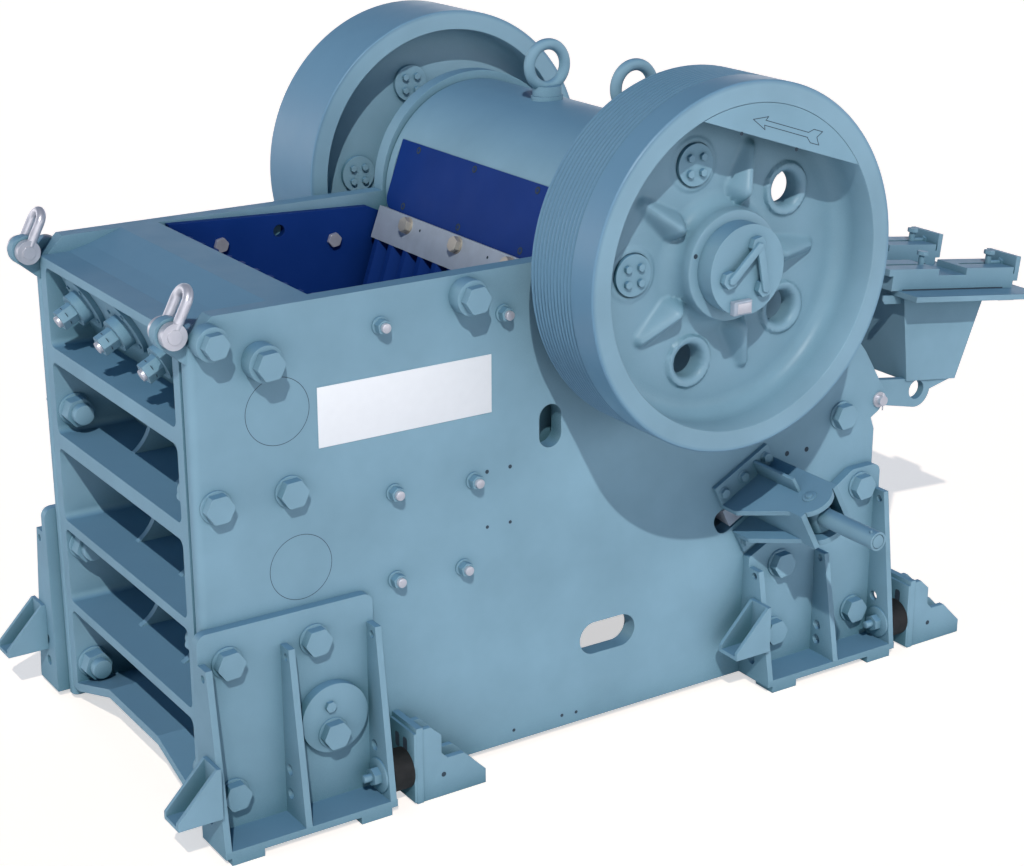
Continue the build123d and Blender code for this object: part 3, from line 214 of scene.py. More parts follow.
# Machine paint, a light steel-blue enamel sprayed over castings and plates alike, with the castings'
# grain showing through it. A painted highlight lies along every edge, painted shade darkens creases,
# and painted shade darkens level tops and the wheels' belt faces.
def enamel(name, colour, roughness=0.42, grain=0.25, edge_highlight=0.25, gloss=0.05, top_and_rim_shade_share=0.8, belt_axis=None):
    """A sprayed enamel with a slow change of tone, the grain beneath, painted edge highlights and painted
    shade in creases and on tops.
    """
    edge_radius, shade_reach = 0.003, 0.2
    paint = Finish(name)
    dark = tuple(0.90 * c for c in colour)
    light = tuple(min(1, 1.10 * c + 0.004) for c in colour)
    tone = paint.mix(paint.band(paint.noise(1.7, 4, 0.6), 0.3, 0.7), dark, light)
    rounded = paint.node("ShaderNodeBevel", {"samples": 6}, {"Radius": edge_radius})
    flat = paint.node("ShaderNodeNewGeometry", output="Normal")
    facing = paint.vector_maths("DOT_PRODUCT", rounded, flat, output="Value")
    # Painted highlight: the colour is made paler along edges, where the rounded normal leaves the flat one,
    # in noisy patches.
    highlight_breakup = paint.band(paint.noise(28, 3), 0.42, 0.62)
    edge_highlight_share = paint.band(facing, 0.985, 0.80) * (highlight_breakup * 0.6 + 0.4) * edge_highlight
    highlight_colour = tuple(c + (1 - c) * 0.25 for c in colour)
    tone = paint.mix(edge_highlight_share, tone, highlight_colour)
    # Painted shade: the colour darkens towards a deep teal in creases, corners and gaps, where ambient
    # occlusion finds nearby surfaces.
    crease_shade = paint.node("ShaderNodeAmbientOcclusion", {"samples": 4}, {"Distance": shade_reach}, output="AO")
    unshaded_share = paint.band(crease_shade, 0.15, 0.85)
    tone = paint.mix(unshaded_share, (0.26 * colour[0], 0.42 * colour[1], 0.44 * colour[2]), tone)
    # Painted shade: faces that look up, or on a wheel the outer faces of the rim, are darkened and made
    # bluer.
    if belt_axis:
        spot = paint.node("ShaderNodeTexCoord", output="Object")
        spot = paint.vector_maths("SUBTRACT", spot, belt_axis)
        spot = paint.vector_maths("MULTIPLY", spot, (1, 0, 1))
        top_and_rim_shade = paint.band(paint.vector_maths("LENGTH", spot, output="Value"), 0.676, 0.692) * top_and_rim_shade_share
    else:
        level = paint.node("ShaderNodeTexCoord", output="Normal")
        level = paint.node("ShaderNodeSeparateXYZ", {}, {0: level}, output="Z")
        top_and_rim_shade = paint.band(level, 0.55, 0.95) * top_and_rim_shade_share
    tone = paint.mix(top_and_rim_shade, tone, (0.52 * colour[0], 0.66 * colour[1], 0.80 * colour[2]))
    orange_peel = paint.noise(240, 2)
    cast = paint.noise(60, 4, 0.65)
    bump = paint.node("ShaderNodeBump", {}, {
        "Height": orange_peel * 0.35 + cast * grain,
        "Strength": 0.25,
        "Distance": 0.0012,
        "Normal": rounded,
    })
    sheen = paint.band(paint.noise(9, 3), 0.3, 0.7) * 0.08 + (roughness - 0.04)
    return paint.surface({
        "Base Color": tone,
        "Roughness": sheen,
        "Normal": bump,
        "Specular IOR Level": gloss,
    })


steel_blue = (0.244, 0.404, 0.492)
machine_paint = enamel("machine_paint", steel_blue)
liner_paint = enamel("liner_paint", (0.006, 0.038, 0.210), roughness=0.45, edge_highlight=0.12, top_and_rim_shade_share=0)


# Steel without paint: machined faces with fine tool lines, and bright zinc on screws and on the
# lifting tackle. The buffers are black rubber, moulded and a little dusty.
def steel(name, colour, roughness, lines=0.0, stretch=(1, 1, 1), metallic=1.0):
    """Bare or plated steel, with smudges in its gloss and fine lines along a direction."""
    metal = Finish(name)
    smudge = metal.band(metal.noise(14, 4, 0.6), 0.3, 0.7)
    tone = metal.mix(smudge, tuple(0.86 * c for c in colour), colour)
    rounded = metal.node("ShaderNodeBevel", {"samples": 6}, {"Radius": 0.002})
    grain = metal.noise(90, 3, 0.6, stretch)
    bump = metal.node("ShaderNodeBump", {}, {
        "Height": grain,
        "Strength": 0.12 + lines,
        "Distance": 0.0006,
        "Normal": rounded,
    })
    return metal.surface({
        "Base Color": tone,
        "Metallic": metallic,
        "Roughness": smudge * 0.12 + roughness,
        "Normal": bump,
    })


bright_steel = steel("bright_steel", (0.74, 0.73, 0.77), 0.32, metallic=0.55)
machined_steel = steel("machined_steel", (0.48, 0.55, 0.63), 0.5, 0.1, (0.2, 1, 6), metallic=0.25)

rubber = Finish("rubber")
rubber_dust = rubber.band(rubber.noise(22, 4), 0.35, 0.65)
rubber_tone = rubber.mix(rubber_dust, (0.004, 0.005, 0.005), (0.013, 0.013, 0.013))
rubber_bump = rubber.node("ShaderNodeBump", {}, {
    "Height": rubber.noise(160, 3),
    "Strength": 0.2,
    "Distance": 0.001,
})
rubber_finish = rubber.surface({"Base Color": rubber_tone, "Roughness": 0.7, "Normal": rubber_bump})

slot_finishes = {
    "body_paint": machine_paint,
    "liner_paint": liner_paint,
    "bare_steel": machined_steel,
    "polished_steel": bright_steel,
    "rubber": rubber_finish,
}
for part in frame["record"]["subparts"]:
    node = frame["nodes"][part["node"]]
    node.data.materials.clear()
    node.data.materials.append(slot_finishes[part["material_slot"]])


# Side plates, 70 mm steel. Screws as thick as a wrist tie the front frame and the cross pieces to
# them: near the shaft and the jaw they stand on tall spring-washer sleeves, elsewhere on washers.
class Piece:
    """One piece under construction, in millimetres, written to the scene in metres."""

    def __init__(self):
        self.mesh = bmesh.new()

    def stack(self, foot, out, *layers, turn=0):
        """Round or many-sided layers, one on the other: each has its sides, radius, length and bevel."""
        stand = Vector(out).to_track_quat("Z", "Y").to_matrix().to_4x4()
        reach = 0
        for sides, radius, length, bevel in layers:
            part = bmesh.new()
            rise = Matrix.Translation((0, 0, length / 2))
            bmesh.ops.create_cone(
                part, cap_ends=True, segments=sides, radius1=radius, radius2=radius, depth=length, matrix=rise
            )
            if bevel:
                top = max(vertex.co.z for vertex in part.verts)
                rim = [vertex for vertex in part.verts if vertex.co.z > top - 0.001]
                if sides == 6:
                    bevel_settings = {"geom": rim, "offset": bevel, "affect": "VERTICES", "segments": 1}
                else:
                    edges = [e for e in part.edges if all(v in rim for v in e.verts)]
                    bevel_settings = {"geom": edges, "offset": bevel, "affect": "EDGES", "segments": 2}
                bmesh.ops.bevel(part, profile=0.5, material=-1, clamp_overlap=True, **bevel_settings)
            lift = Matrix.Translation((0, 0, reach)) @ Matrix.Rotation(turn, 4, "Z")
            self.join(part, Matrix.Translation(foot) @ stand @ lift)
            reach += length

    def join(self, part, spot=Matrix.Identity(4)):
        """Takes another mesh in at a spot, and frees it."""
        part.transform(spot)
        data = bpy.data.meshes.new("part")
        part.to_mesh(data)
        self.mesh.from_mesh(data)
        bpy.data.meshes.remove(data)
        part.free()

    def plate(self, outline, foot, right, out, thickness, bevel=0):
        """A plate of an outline drawn along right and up, extruded out from its foot."""
        part = bmesh.new()
        right, out = Vector(right).normalized(), Vector(out).normalized()
        up = out.cross(right)
        face = part.faces.new([part.verts.new(right * x + up * y) for x, y in outline])
        front = bmesh.ops.extrude_face_region(part, geom=[face])["geom"]
        front = [g for g in front if isinstance(g, bmesh.types.BMVert)]
        bmesh.ops.translate(part, verts=front, vec=out * thickness)
        if bevel:
            edges = [e for e in part.edges if all(v in front for v in e.verts)]
            bmesh.ops.bevel(
                part, geom=edges, offset=bevel, affect="EDGES", segments=2, profile=0.5, material=-1,
                clamp_overlap=True,
            )
        bmesh.ops.recalc_face_normals(part, faces=part.faces)
        self.join(part, Matrix.Translation(foot))

    def mirror(self):
        """The same again on the other side of the machine."""
        other = self.mesh.copy()
        bmesh.ops.scale(other, vec=(1, -1, 1), verts=other.verts)
        bmesh.ops.reverse_faces(other, faces=other.faces)
        self.join(other)
        return self

    def finish(self, name, material, body, smooth=30, slot="body_paint"):
        """Writes the piece as an object that rides on a body."""
        bmesh.ops.scale(self.mesh, vec=(0.001, 0.001, 0.001), verts=self.mesh.verts)
        data = bpy.data.meshes.new(name)
        self.mesh.to_mesh(data)
        self.mesh.free()
        data.materials.append(material)
        data.shade_smooth()
        data.set_sharp_from_angle(angle=radians(smooth))
        piece = bpy.data.objects.new(name, data)
        bpy.context.scene.collection.objects.link(piece)
        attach(piece, body)
        return piece


near, far, ahead, behind, up, downward = (0, -1, 0), (0, 1, 0), (-1, 0, 0), (1, 0, 0), (0, 0, 1), (0, 0, -1)
flat_washer, hexagon_head, head_turn = (48, 61, 9, 2), (6, 57, 38, 6), radians(34)
frame_screws = Piece()
tall_spots = [(152, 80, 62, 49), (350, 183, 68, 56), (1187, 79, 68, 56)]
for distance, depth, sleeve_radius, head_radius in tall_spots:
    sleeve, tall_head = (48, sleeve_radius, 65, 2), (6, head_radius, 38, 6)
    frame_screws.stack(place(distance, -plate_face, depth), near, sleeve, tall_head, turn=head_turn)
for distance, depth in [(160, 687), (450, 690), (3056, 895)]:
    frame_screws.stack(place(distance, -plate_face, depth), near, flat_washer, hexagon_head, turn=head_turn)
frame_screws.mirror().finish("frame_screws", machine_paint, "frame")

# Foot screws: the same screws hold the plates of the four feet, and each front foot has a round
# clamping disc with a large and a small screw of its own.
foot_screws, foot_discs = Piece(), Piece()
foot_face, disc_thickness = 745, 40
foot_spots = [(153, 1266), (503, 1265), (153, 1793), (3146, 1219), (2713, 1478), (3135, 1792), (2685, 1783)]
for distance, depth in foot_spots:
    foot_screws.stack(place(distance, -foot_face, depth), near, flat_washer, hexagon_head, turn=head_turn)
disc_face = foot_face + disc_thickness
foot_discs.stack(place(560, -foot_face, 1585), near, (96, 138, disc_thickness, 3))
foot_discs.stack(place(548, -disc_face, 1641), near, (48, 61, 6, 2), (6, 57, 36, 6), turn=head_turn)
foot_discs.stack(place(538, -disc_face, 1530), near, (6, 22, 16, 3), turn=head_turn)
foot_screws.mirror().finish("foot_screws", machine_paint, "frame")
foot_discs.mirror().finish("foot_discs", machine_paint, "frame")

# Buffer studs: each rubber buffer is drawn against the last rib of its foot by a painted steel stud
# with a round plate, a nut and a short free end.
buffer_studs = Piece()
buffer_plate, buffer_nut, buffer_end = (48, 68, 8, 2), (6, 36, 30, 5), (24, 16, 34, 3)
for distance in (722, 3232):
    buffer_studs.stack(place(distance, -818, 1855), ahead, buffer_plate, buffer_nut, buffer_end)
buffer_studs.mirror().finish("buffer_studs", machine_paint, "frame")

# Stops behind the buffers: a slotted thin plate before a thick one, and two stepped webs that stand
# back a little from the plates' edge. They take the place of the CAD's plainer stops.
stops = Piece()
stop_starts, stop_root, stop_bevel = (836, 3346), -plate_face - 0.5, 1.5
thick_outline = [(0, 0.5), (179.5, 0.5), (179.5, 318), (0, 318)]
thin_outline = [(1, 8), (178.5, 8), (178.5, 298), (1, 298)]
web_outline = [
    (37, 0), (37, 306), (75, 306), (122, 262), (122, 186), (148, 158), (222, 158), (320, 60), (320, 0),
]
for start in stop_starts:
    stops.plate(thick_outline, place(start + 38, stop_root, plate_top), near, ahead, 28, stop_bevel)
    stops.plate(thin_outline, place(start + 11, stop_root, plate_top), near, ahead, 11, stop_bevel)
    for across in (-857, -771):
        stops.plate(web_outline, place(start, across, plate_top), behind, near, 24, stop_bevel)
stop_nodes = ["front_stop_right", "front_stop_left", "rear_stop_right", "rear_stop_left"]
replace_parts(stops.mirror().finish("welded_stops", machine_paint, "frame"), *stop_nodes)

# The frame screws' nuts and stud ends, painted with the castings, inside the open bays of the front
# frame. Each stands on a washer against the bay's end wall.
bay_nuts = Piece()
bay_wall = 583
bay_washer, bay_nut, bay_stud = (48, 66, 12, 2), (6, 62, 58, 8), (40, 41, 38, 4)
for distance, depth in [(157, 690), (155, 1268), (155, 1795)]:
    bay_nuts.stack(place(distance, -bay_wall, depth), far, bay_washer, bay_nut, bay_stud, turn=radians(20))
bay_nuts.mirror().finish("bay_nuts", machine_paint, "frame")

# Cheek screws: they come through the side plates from the chamber, and their painted nuts stand
# outside on washers, with the zinc-plated thread showing.
cheek_nuts, cheek_threads = Piece(), Piece()
cheek_washer, cheek_nut, cheek_thread = (40, 34, 8, 1.5), (6, 29, 30, 4), (32, 18, 15, 2)
for distance, depth in [(831, 137), (1354, 174), (874, 783), (1219, 808), (874, 1130), (1169, 1151)]:
    foot = place(distance, -plate_face, depth)
    cheek_nuts.stack(foot, near, cheek_washer, cheek_nut, turn=radians(10))
    cheek_threads.stack(foot + Vector((0, -cheek_washer[2] - cheek_nut[2], 0)), near, cheek_thread)
cheek_nuts.mirror().finish("cheek_nuts", machine_paint, "frame")
cheek_threads.mirror().finish("cheek_threads", bright_steel, "frame", slot="polished_steel")

# Marks on the side plates: two dowel faces flush with the plate, of which only the joint shows, a
# bare white sign plate, small tapped holes for guards, and the slots and holes of the stops.
seam = Finish("seam_shadow")
seam_tone = seam.mix(seam.noise(40, 2), (0.020, 0.040, 0.060), (0.035, 0.060, 0.085))
seam_shade = seam.surface({"Base Color": seam_tone, "Roughness": 0.8})
dowels = Piece()
dowel_radius, joint_radius, joint_lift = 124, 126, 0.4
for distance, depth in [(413, 383), (483, 990)]:
    ring = bmesh.new()
    bmesh.ops.create_circle(ring, segments=72, radius=dowel_radius)
    rim = bmesh.ops.extrude_edge_only(ring, edges=ring.edges)["geom"]
    rim = [g for g in rim if isinstance(g, bmesh.types.BMVert)]
    bmesh.ops.scale(ring, vec=(joint_radius / dowel_radius,) * 3, verts=rim)
    upright = Matrix.Rotation(radians(90), 4, "X")
    dowels.join(ring, Matrix.Translation(place(distance, -plate_face - joint_lift, depth)) @ upright)
dowels.mirror().finish("dowel_joints", seam_shade, "frame")

sign = Finish("sign_white")
sign_tone = sign.mix(sign.noise(30, 2), (0.92, 0.93, 0.93), (0.96, 0.97, 0.97))
sign_white = sign.surface({"Base Color": sign_tone, "Roughness": 0.35, "Coat Weight": 0.2})
sign_plates = Piece()
sign_outline, sign_corner = [(0, 0), (730, 0), (730, 227), (0, 227)], place(570.5, -plate_face, 551.7)
sign_plates.plate(sign_outline, sign_corner, behind, near, 3, 0.8)
sign_plates.mirror().finish("sign_plates", sign_white, "frame")

tapped_holes = Piece()
mark_lift = 0.6
small_holes = [
    (1280, 787, 8), (1384, 787, 8), (1280, 1012, 7), (1384, 1014, 7), (1632, 1912, 7), (1702, 1916, 7),
    (1400, 1912, 7), (2766, 1012, 11), (2873, 1014, 11),
]
for distance, depth, radius in small_holes:
    tapped_holes.stack(place(distance, -plate_face, depth), near, (20, radius, mark_lift, 0))
slot_outline = [(-9, -30), (9, -30), (15, -22), (15, 22), (9, 30), (-9, 30), (-15, 22), (-15, -22)]
for start in stop_starts:
    tapped_holes.stack(place(start + 130, -881, 1898), near, (20, 10, mark_lift, 0))
    for across in (-758, -816):
        tapped_holes.plate(slot_outline, place(start, across, 1762), near, ahead, mark_lift)
tapped_holes.mirror().finish("tapped_holes", seam_shade, "frame")

# Chamber side: the cheek plates of wearing steel are held by plain zinc screws, whose heads stand on
# the wearing face.
chamber_screws = Piece()
wearing_face = 601
for distance, depth in [(834, 121), (1352, 171)]:
    chamber_screws.stack(place(distance, -wearing_face, depth), far, (6, 31, 18, 4), turn=radians(20))
chamber_screws.mirror().finish("chamber_screws", bright_steel, "frame", slot="polished_steel")

# Wedge bolts of the fixed jaw, tilted down and forward: the flange and the collar of each carry small
# screws, the long nut is parted from its lock nut by a groove, and the plated stud ends in front.
bolt_out = Vector((-cos(radians(27)), 0, -sin(radians(27))))
bolt_rise = Vector((-bolt_out.z, 0, bolt_out.x))
collar_screws, stud_ends, nut_grooves = Piece(), Piece(), Piece()
for across in (-395, 0, 395):
    seat = place(172, across, 206)
    for turn in (40, 130, 220, 310):
        spoke = Vector((0, cos(radians(turn)), 0)) - bolt_rise * sin(radians(turn))
        collar_screws.stack(seat + spoke * 58 + bolt_out * 67, bolt_out, (16, 5, 1.5, 0.5))
        collar_screws.stack(seat + spoke * 94 + bolt_out * 20, bolt_out, (6, 9, 6, 1.5))
    nut_grooves.stack(seat + bolt_out * 103, bolt_out, (6, 42.4, 1.6, 0))
    stud_ends.stack(seat + bolt_out * 132, bolt_out, (32, 23, 14, 3), (24, 12, 1.2, 0.5))
collar_screws.finish("collar_screws", machine_paint, "frame")
stud_ends.finish("stud_ends", bright_steel, "frame", slot="polished_steel")
nut_grooves.finish("nut_grooves", seam_shade, "frame")

# Guard plate over the pitman's front, of painted sheet steel: six countersunk screws hold it, each
# with a dark ring round its head and a hexagon socket.
guard_root = place(1599, 0, 59)
guard_up = (place(1698, 0, -217) - guard_root).normalized()
guard_out = Vector((-guard_up.z, 0, guard_up.x))
guard_thickness, ring_lift = 14, 1.5
guard_rings, guard_sockets = Piece(), Piece()
for across in (-452, 0, 435):
    for rise in (28, 268):
        spot = guard_root + guard_out * guard_thickness + guard_up * rise + Vector((0, across, 0))
        guard_rings.stack(spot, guard_out, (32, 15, ring_lift, 0.6))
        guard_sockets.stack(spot + guard_out * ring_lift, guard_out, (6, 8, 0.5, 0))
guard_rings.finish("guard_screws", seam_shade, "pitman", slot="liner_paint")
guard_sockets.finish("guard_sockets", liner_paint, "pitman", slot="liner_paint")

# Jaw wedge, a machined steel bar under the guard plate: three passivated hexagon screws draw it in,
# and two tapped holes take jacking screws.
wedge_top = guard_root + guard_out * 34
wedge_down = (place(1519, 0, 178) - wedge_top).normalized()
wedge_out = Vector((wedge_down.z, 0, -wedge_down.x))
wedge_screws, jacking_holes = Piece(), Piece()
for across in (-440, -60, 327):
    seat = wedge_top + wedge_down * 38 + Vector((0, across, 0))
    wedge_screws.stack(seat, wedge_out, (32, 36, 4, 1), (6, 33, 24, 5))
for across in (-285, 229):
    seat = wedge_top + wedge_down * 39 + Vector((0, across, 0))
    jacking_holes.stack(seat, wedge_out, (20, 6, mark_lift, 0))
passivated_steel = steel("passivated_steel", (0.62, 0.57, 0.48), 0.4, metallic=0.6)
wedge_screws.finish("jaw_wedge_screws", passivated_steel, "pitman", slot="bare_steel")
jacking_holes.finish("jacking_holes", seam_shade, "pitman")

# Flywheels, iron castings turned on the rim and the hub. The web has five star ribs that die away
# into it, five holes with rolled collars, and deep rounded corners at the hub and the rim. The near
# wheel has twelve belt grooves.
shaft_centre = place(2075.6, 0, 1)
web_out, web_in, rim_bore, wheel_radius, rim_out, rim_in = 1050, 985, 611, 694, 1233, 846
hub_radius, hub_out, collar_top = 210, 1155, 1064
hole_circle, hole_radius, cover_seat = 393, 62, 84
open_holes, covered_holes = (36, 252, 324), (108, 180)
groove_count, groove_pitch, groove_depth = 12, 21, 15


def soft_max(first, second, blend):
    """The greater of two heights, rounded where they cross."""
    share = max(blend - abs(first - second), 0) / blend
    return max(first, second) + share * share * blend / 4


def wheel_section(grooved):
    """Half section from the hub's outer face round the rim to the hub's inner face: radius and reach."""
    section = [(141, 1150), (141, hub_out), (200, hub_out), (207, 1152), (hub_radius, 1145)]
    section += [(hub_radius, 1112)]
    for turn in range(15, 91, 15):
        section += [(hub_radius + 62 * (1 - cos(radians(turn))), 1112 - 62 * sin(radians(turn)))]
    section += [(278 + 6 * i, web_out) for i in range(44)]
    for turn in range(12, 85, 12):
        section += [(543 + 66 * sin(radians(turn)), web_out + 66 * (1 - cos(radians(turn))))]
    section += [(rim_bore, 1122), (rim_bore, rim_out - 4), (rim_bore + 3, rim_out)]
    section += [(wheel_radius - 5, rim_out), (wheel_radius, rim_out - 5)]
    if grooved:
        root = wheel_radius - groove_depth
        for i in reversed(range(groove_count)):
            middle = rim_in + 16 + groove_pitch * i
            section += [(wheel_radius, middle + 8.4), (root, middle + 1), (root, middle - 1)]
            section += [(wheel_radius, middle - 8.4)]
    section += [(wheel_radius, rim_in + 4), (wheel_radius - 4, rim_in)]
    section += [(rim_bore + 3, rim_in), (rim_bore, rim_in + 4)]
    section += [(rim_bore, 930), (606, 956), (590, 974), (565, 983), (545, web_in)]
    section += [(536 - 8 * i, web_in) for i in range(33)]
    section += [(264, 978), (254, 964), (250, 944), (250, 836), (244, 830), (141, 830), (141, 836)]
    return section


def rib_height(radius, turn):
    """Height above the web of the nearest star rib: a crest that falls outward, ends steeply, rises
    softly from the hub and has straight flanks that meet in a round."""
    off = radians((turn + 36) % 72 - 36)
    along, across = radius * cos(off), radius * sin(off)
    crest_round, flank_slope = 22, 2.1
    crest = -soft_max(0.34 * (along - 255) - 92, 1.8 * (along - 462), 18)
    crest = -soft_max(-crest, -30 - 1.3 * (along - 216), 36)
    return crest - flank_slope * (hypot(across, crest_round) - crest_round)


def collar_height(gap, covered):
    """Height of a hole's collar at a distance from the hole's centre. The open holes' are rolled in."""
    foot_radius, roll_start, roll_radius = 106, 92, 30
    rise = collar_top - web_out - (8 if covered else 0)
    edge = min(max((foot_radius - gap) / 9, 0), 1)
    height = rise * edge * edge * (3 - 2 * edge)
    if not covered and gap < roll_start:
        height -= roll_radius - (roll_radius ** 2 - min(roll_start - gap, roll_radius) ** 2) ** 0.5
    return height


def flywheel(name, grooved, side, node):
    """Spins a wheel's section, raises ribs and collars on its web, and opens the holes."""
    wheel = bmesh.new()
    line = [wheel.verts.new((radius, 0, reach)) for radius, reach in wheel_section(grooved)]
    edges = [wheel.edges.new(pair) for pair in zip(line, line[1:])]
    bmesh.ops.spin(
        wheel, geom=line + edges, cent=(0, 0, 0), axis=(0, 0, 1), angle=2 * pi, steps=300, use_merge=True,
        use_duplicate=False,
    )
    bmesh.ops.remove_doubles(wheel, verts=wheel.verts, dist=0.01)
    holes = [(a, False) for a in open_holes] + [(a, True) for a in covered_holes]
    holes = [(Vector((cos(radians(a)), sin(radians(a)))) * hole_circle, covered) for a, covered in holes]
    seats = []
    for middle, covered in holes:
        size = cover_seat if covered else hole_radius
        inside = []
        for face in wheel.faces:
            spot = face.calc_center_median()
            on_web = spot.z > web_out - 1 or abs(spot.z - web_in) < 1 and not covered
            if on_web and (spot.xy - middle).length < size and 200 < spot.xy.length < 600:
                inside.append(face)
        bmesh.ops.delete(wheel, geom=inside, context="FACES")
        border = [e for e in wheel.edges if e.is_boundary and (e.verts[0].co.xy - middle).length < size + 20]
        for vertex in {v for e in border for v in e.verts}:
            vertex.co.xy = middle + (vertex.co.xy - middle).normalized() * size
        if covered:
            seats.append(border)
        else:
            bmesh.ops.bridge_loops(wheel, edges=border)
    for vertex in wheel.verts:
        radius = vertex.co.xy.length
        if vertex.co.z >= web_out - 1 and hub_radius + 0.5 < radius < 540:
            turn = degrees(atan2(vertex.co.y, vertex.co.x))
            height = vertex.co.z
            for middle, covered in holes:
                gap = (vertex.co.xy - middle).length
                if gap < 110:
                    height += collar_height(gap, covered)
            vertex.co.z = soft_max(height, web_out + rib_height(radius, turn), 13)
    for border in seats:
        wall = bmesh.ops.extrude_edge_only(wheel, edges=border)["geom"]
        for vertex in [g for g in wall if isinstance(g, bmesh.types.BMVert)]:
            vertex.co.z = web_out
        seat_rim = [g for g in wall if isinstance(g, bmesh.types.BMEdge) and g.is_boundary]
        bmesh.ops.contextual_create(wheel, geom=seat_rim)
    bmesh.ops.recalc_face_normals(wheel, faces=wheel.faces)
    casting = Piece()
    stand = Matrix.Rotation(radians(90), 4, "X")
    casting.join(wheel, Matrix.Translation(shaft_centre) @ stand)
    if side == far:
        bmesh.ops.scale(casting.mesh, vec=(1, -1, 1), verts=casting.mesh.verts)
        bmesh.ops.reverse_faces(casting.mesh, faces=casting.mesh.faces)
    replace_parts(casting.finish(name, cast_paint, "drive", smooth=38), node)


wheel_axis = tuple(shaft_centre / 1000)
cast_paint = enamel("cast_paint", steel_blue, roughness=0.40, grain=0.5, gloss=0.3, belt_axis=wheel_axis)
flywheel("grooved_wheel", True, near, "flywheel_right")
flywheel("plain_wheel", False, far, "flywheel_left")

# Covers of the two closed holes, flat steel discs let into the web, each held by four hexagon screws
# on either face of the web.
cover_screws = Piece()
cover_screw, cover_out, cover_in = (6, 15, 14, 2), -1067, -968
for turn in covered_holes:
    middle = shaft_centre + Vector((cos(radians(turn)), 0, sin(radians(turn)))) * hole_circle
    for across, rise in ((-29, -29), (29, -29), (-29, 29), (29, 29)):
        cover_screws.stack(middle + Vector((across, cover_out, rise)), near, cover_screw)
        cover_screws.stack(middle + Vector((across, cover_in, rise)), far, cover_screw)
cover_screws.mirror().finish("cover_screws", machine_paint, "drive")

# End caps of the shaft: three screws are locked by two painted steel bars, one a little higher than
# the other, and a square key block of bare steel has a bright face.
lock_bars, key_blocks, key_faces = Piece(), Piece(), Piece()
cap_circle, bar_seat = 98, -1257
screw_spots = [Vector((cos(radians(a)), 0, sin(radians(a)))) * cap_circle for a in (72, 192, 312)]
for lift, screw_end in zip((0, 1.5), screw_spots[1:]):
    run = screw_end - screw_spots[0]
    length = run.length
    outline = [(-14, 0), (-4, -15), (length + 4, -15), (length + 14, 0), (length + 4, 15), (-4, 15)]
    bar_foot = shaft_centre + screw_spots[0] + Vector((0, lift + bar_seat, 0))
    lock_bars.plate(outline, bar_foot, run, near, 13, 2)
key_thickness = 24
key_foot = shaft_centre + Vector((-33, -rim_out, -132))
key_blocks.plate([(-42, -26), (42, -26), (42, 26), (-42, 26)], key_foot, behind, near, key_thickness, 3)
key_face = key_foot + Vector((0, -key_thickness, 0))
key_faces.plate([(-27, -19), (34, -19), (34, 19), (-27, 19)], key_face, behind, near, 4, 1)
lock_bars.mirror().finish("lock_bars", machine_paint, "drive")
key_blocks.mirror().finish("key_blocks", machined_steel, "drive", slot="bare_steel")
key_faces.mirror().finish("key_faces", bright_steel, "drive", slot="polished_steel")

# Direction arrow on the counterweight, a plain fletched arrow along the chord's slope, drawn as a thin
# outline cut by a graver.
arrow = Piece()
arrow_line = [
    (0, 0), (66, -24), (58, -9), (272, -9), (294, -25), (338, -25), (318, 0), (338, 25), (294, 25),
    (272, 9), (58, 9), (66, 24), (0, 0),
]
arrow_tip = shaft_centre + Vector((0, -rim_out, 555))
chord_slope = Matrix.Rotation(radians(-18), 3, (0, -1, 0))
for (start_x, start_z), (end_x, end_z) in zip(arrow_line, arrow_line[1:]):
    start, end = chord_slope @ Vector((start_x, 0, start_z)), chord_slope @ Vector((end_x, 0, end_z))
    stroke = (end - start).length + 1
    cut = [(-1, -1.2), (stroke, -1.2), (stroke, 1.2), (-1, 1.2)]
    arrow.plate(cut, arrow_tip + start, end - start, near, 0.5)
arrow.mirror().finish("direction_arrow", seam_shade, "drive")

# Small marks on the wheels' outer end: an oil hole bored in each hub's face, and two small screws in
# the counterweight's face, between the arrow and the chord.
hub_marks = Piece()
for across, rise, reach, radius in ((-181, 61, hub_out, 9), (-51, 509, rim_out, 7), (207, 423, rim_out, 7)):
    hub_marks.stack(shaft_centre + Vector((across, -reach, rise)), near, (20, radius, mark_lift, 0))
hub_marks.mirror().finish("hub_marks", seam_shade, "drive")

# Motor base. The base plane falls gently to the rear, so its pieces are set out along it: how far
# down the slope, how high above the shelf and how far across.
slope = radians(7.5)
base_run, base_rise = Vector((cos(slope), 0, -sin(slope))), Vector((sin(slope), 0, cos(slope)))


def on_base(run, rise, across):
    """Place on the motor base's own slope."""
    return place(3443, across, 437) + base_run * run + base_rise * rise


# Slide rail screws: T-bolts stand in the slots of the pads, and an adjusting screw lies in each end
# plate with its lock nut.
t_bolts, slide_screws = Piece(), Piece()
slot_floor, screw_level = 92, 98
for across in (-507, -17):
    for run in (205, 620):
        t_bolts.stack(on_base(run, slot_floor, across), base_rise, (24, 14, 44, 0), (6, 25, 18, 3))
    slide_screws.stack(on_base(718, screw_level, across), base_run, (6, 22, 15, 2), (24, 11, 14, 2))
    slide_screws.stack(on_base(704, screw_level, across), -base_run, (6, 22, 16, 2), (24, 11, 74, 2))
t_bolts.finish("t_bolts", machine_paint, "frame")
slide_screws.finish("slide_screws", machine_paint, "frame")

# Brackets under the shelf, small rounded angles cut from plate, and the dark gap that stays between
# the shelf and each pad that is welded on it.
shelf_angles, weld_gaps = Piece(), Piece()
angle_outline = [(0, 0), (125, 0), (125, -22), (112, -38), (13, -38), (0, -22)]
for across in (-570, 535):
    for run in (-58, 640):
        shelf_angles.plate(angle_outline, on_base(run, -24, across), base_run, near, 8, 1)
shelf_angles.finish("shelf_angles", machine_paint, "frame")
for across in (-600.5, -110.5):
    weld_gaps.plate([(24, 0), (640, 0), (640, 6), (24, 6)], on_base(0, 1, across), base_run, near, 0.5)
weld_gaps.finish("weld_gaps", seam_shade, "frame")

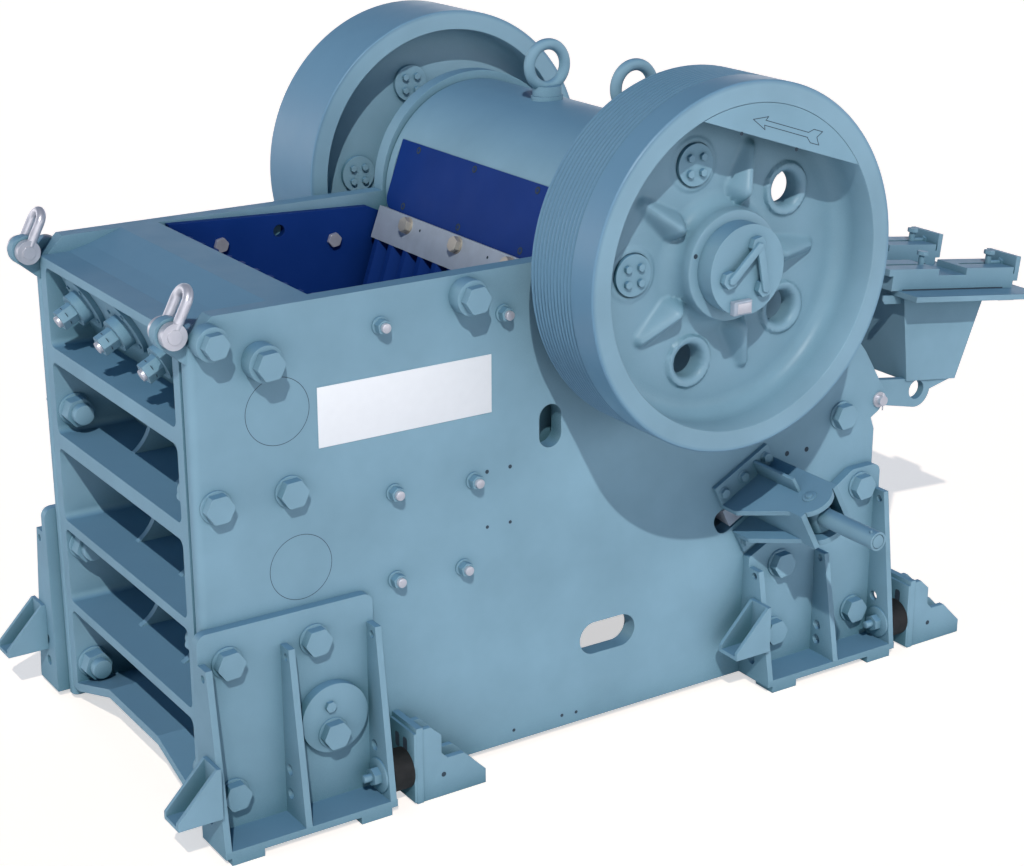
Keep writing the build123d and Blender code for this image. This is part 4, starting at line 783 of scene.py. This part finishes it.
# Adjusting gear: each welded bracket's flanges are screwed to the side plate, a short fin stiffens its
# top, a ring keeps its pin, and the cylinder ends in a cap with a cross pin.
gear_slope = radians(28)
gear_run = Vector((cos(gear_slope), 0, sin(gear_slope)))
gear_rise = Vector((-sin(gear_slope), 0, cos(gear_slope)))


def on_gear(run, rise, across):
    """Place on the adjusting gear's own slope, from the middle of the wedges."""
    return place(2498, across, 1213) + gear_run * run + gear_rise * rise


gear_screws, gear_fins, pin_rings = Piece(), Piece(), Piece()
axis_run, axis_rise, bracket_top, bracket_bottom = 163, -5, 85, -95
for rise in (132, -142):
    for run in (-22, 90, 222):
        gear_screws.stack(on_gear(run, rise, -725), near, (40, 25, 4, 1), (6, 21, 16, 3), turn=radians(12))
gear_screws.mirror().finish("gear_screws", machine_paint, "frame")
pin_ring, pin_end = (40, 30, 5, 1), (32, 15, 6, 1)
pin_rings.stack(on_gear(axis_run, bracket_top, -1042), gear_rise, pin_ring, pin_end)
pin_rings.stack(on_gear(axis_run, bracket_bottom, -1042), -gear_rise, pin_ring, pin_end)
pin_rings.stack(on_gear(axis_run, axis_rise, -1394), near, (48, 27.5, 11, 1))
pin_rings.stack(on_gear(axis_run, axis_rise + 38, -1384), gear_rise, (12, 5, 13, 1))
pin_rings.stack(on_gear(axis_run, axis_rise - 38, -1384), -gear_rise, (12, 4, 14, 1))
pin_rings.mirror().finish("pin_rings", machine_paint, "frame")
fin_outline = [(0, 0), (0, 70), (252, 70), (258, 0)]
gear_fins.plate(fin_outline, on_gear(172, bracket_top, -722), near, -gear_run, 14, 2)
gear_fins.mirror().finish("gear_fins", machine_paint, "frame")

# Split pins of bright steel lock the motor base's pins, which stand in the ears of the side plates.
# Their eye is up and their bent legs hang down.
split_pins = Piece()
ear_pin_end = place(3268, -732, 865)
split_pins.stack(ear_pin_end, up, (12, 4, 34, 1))
split_pins.stack(ear_pin_end, downward, (12, 3, 42, 1))
split_pins.mirror().finish("split_pins", bright_steel, "frame", slot="polished_steel")
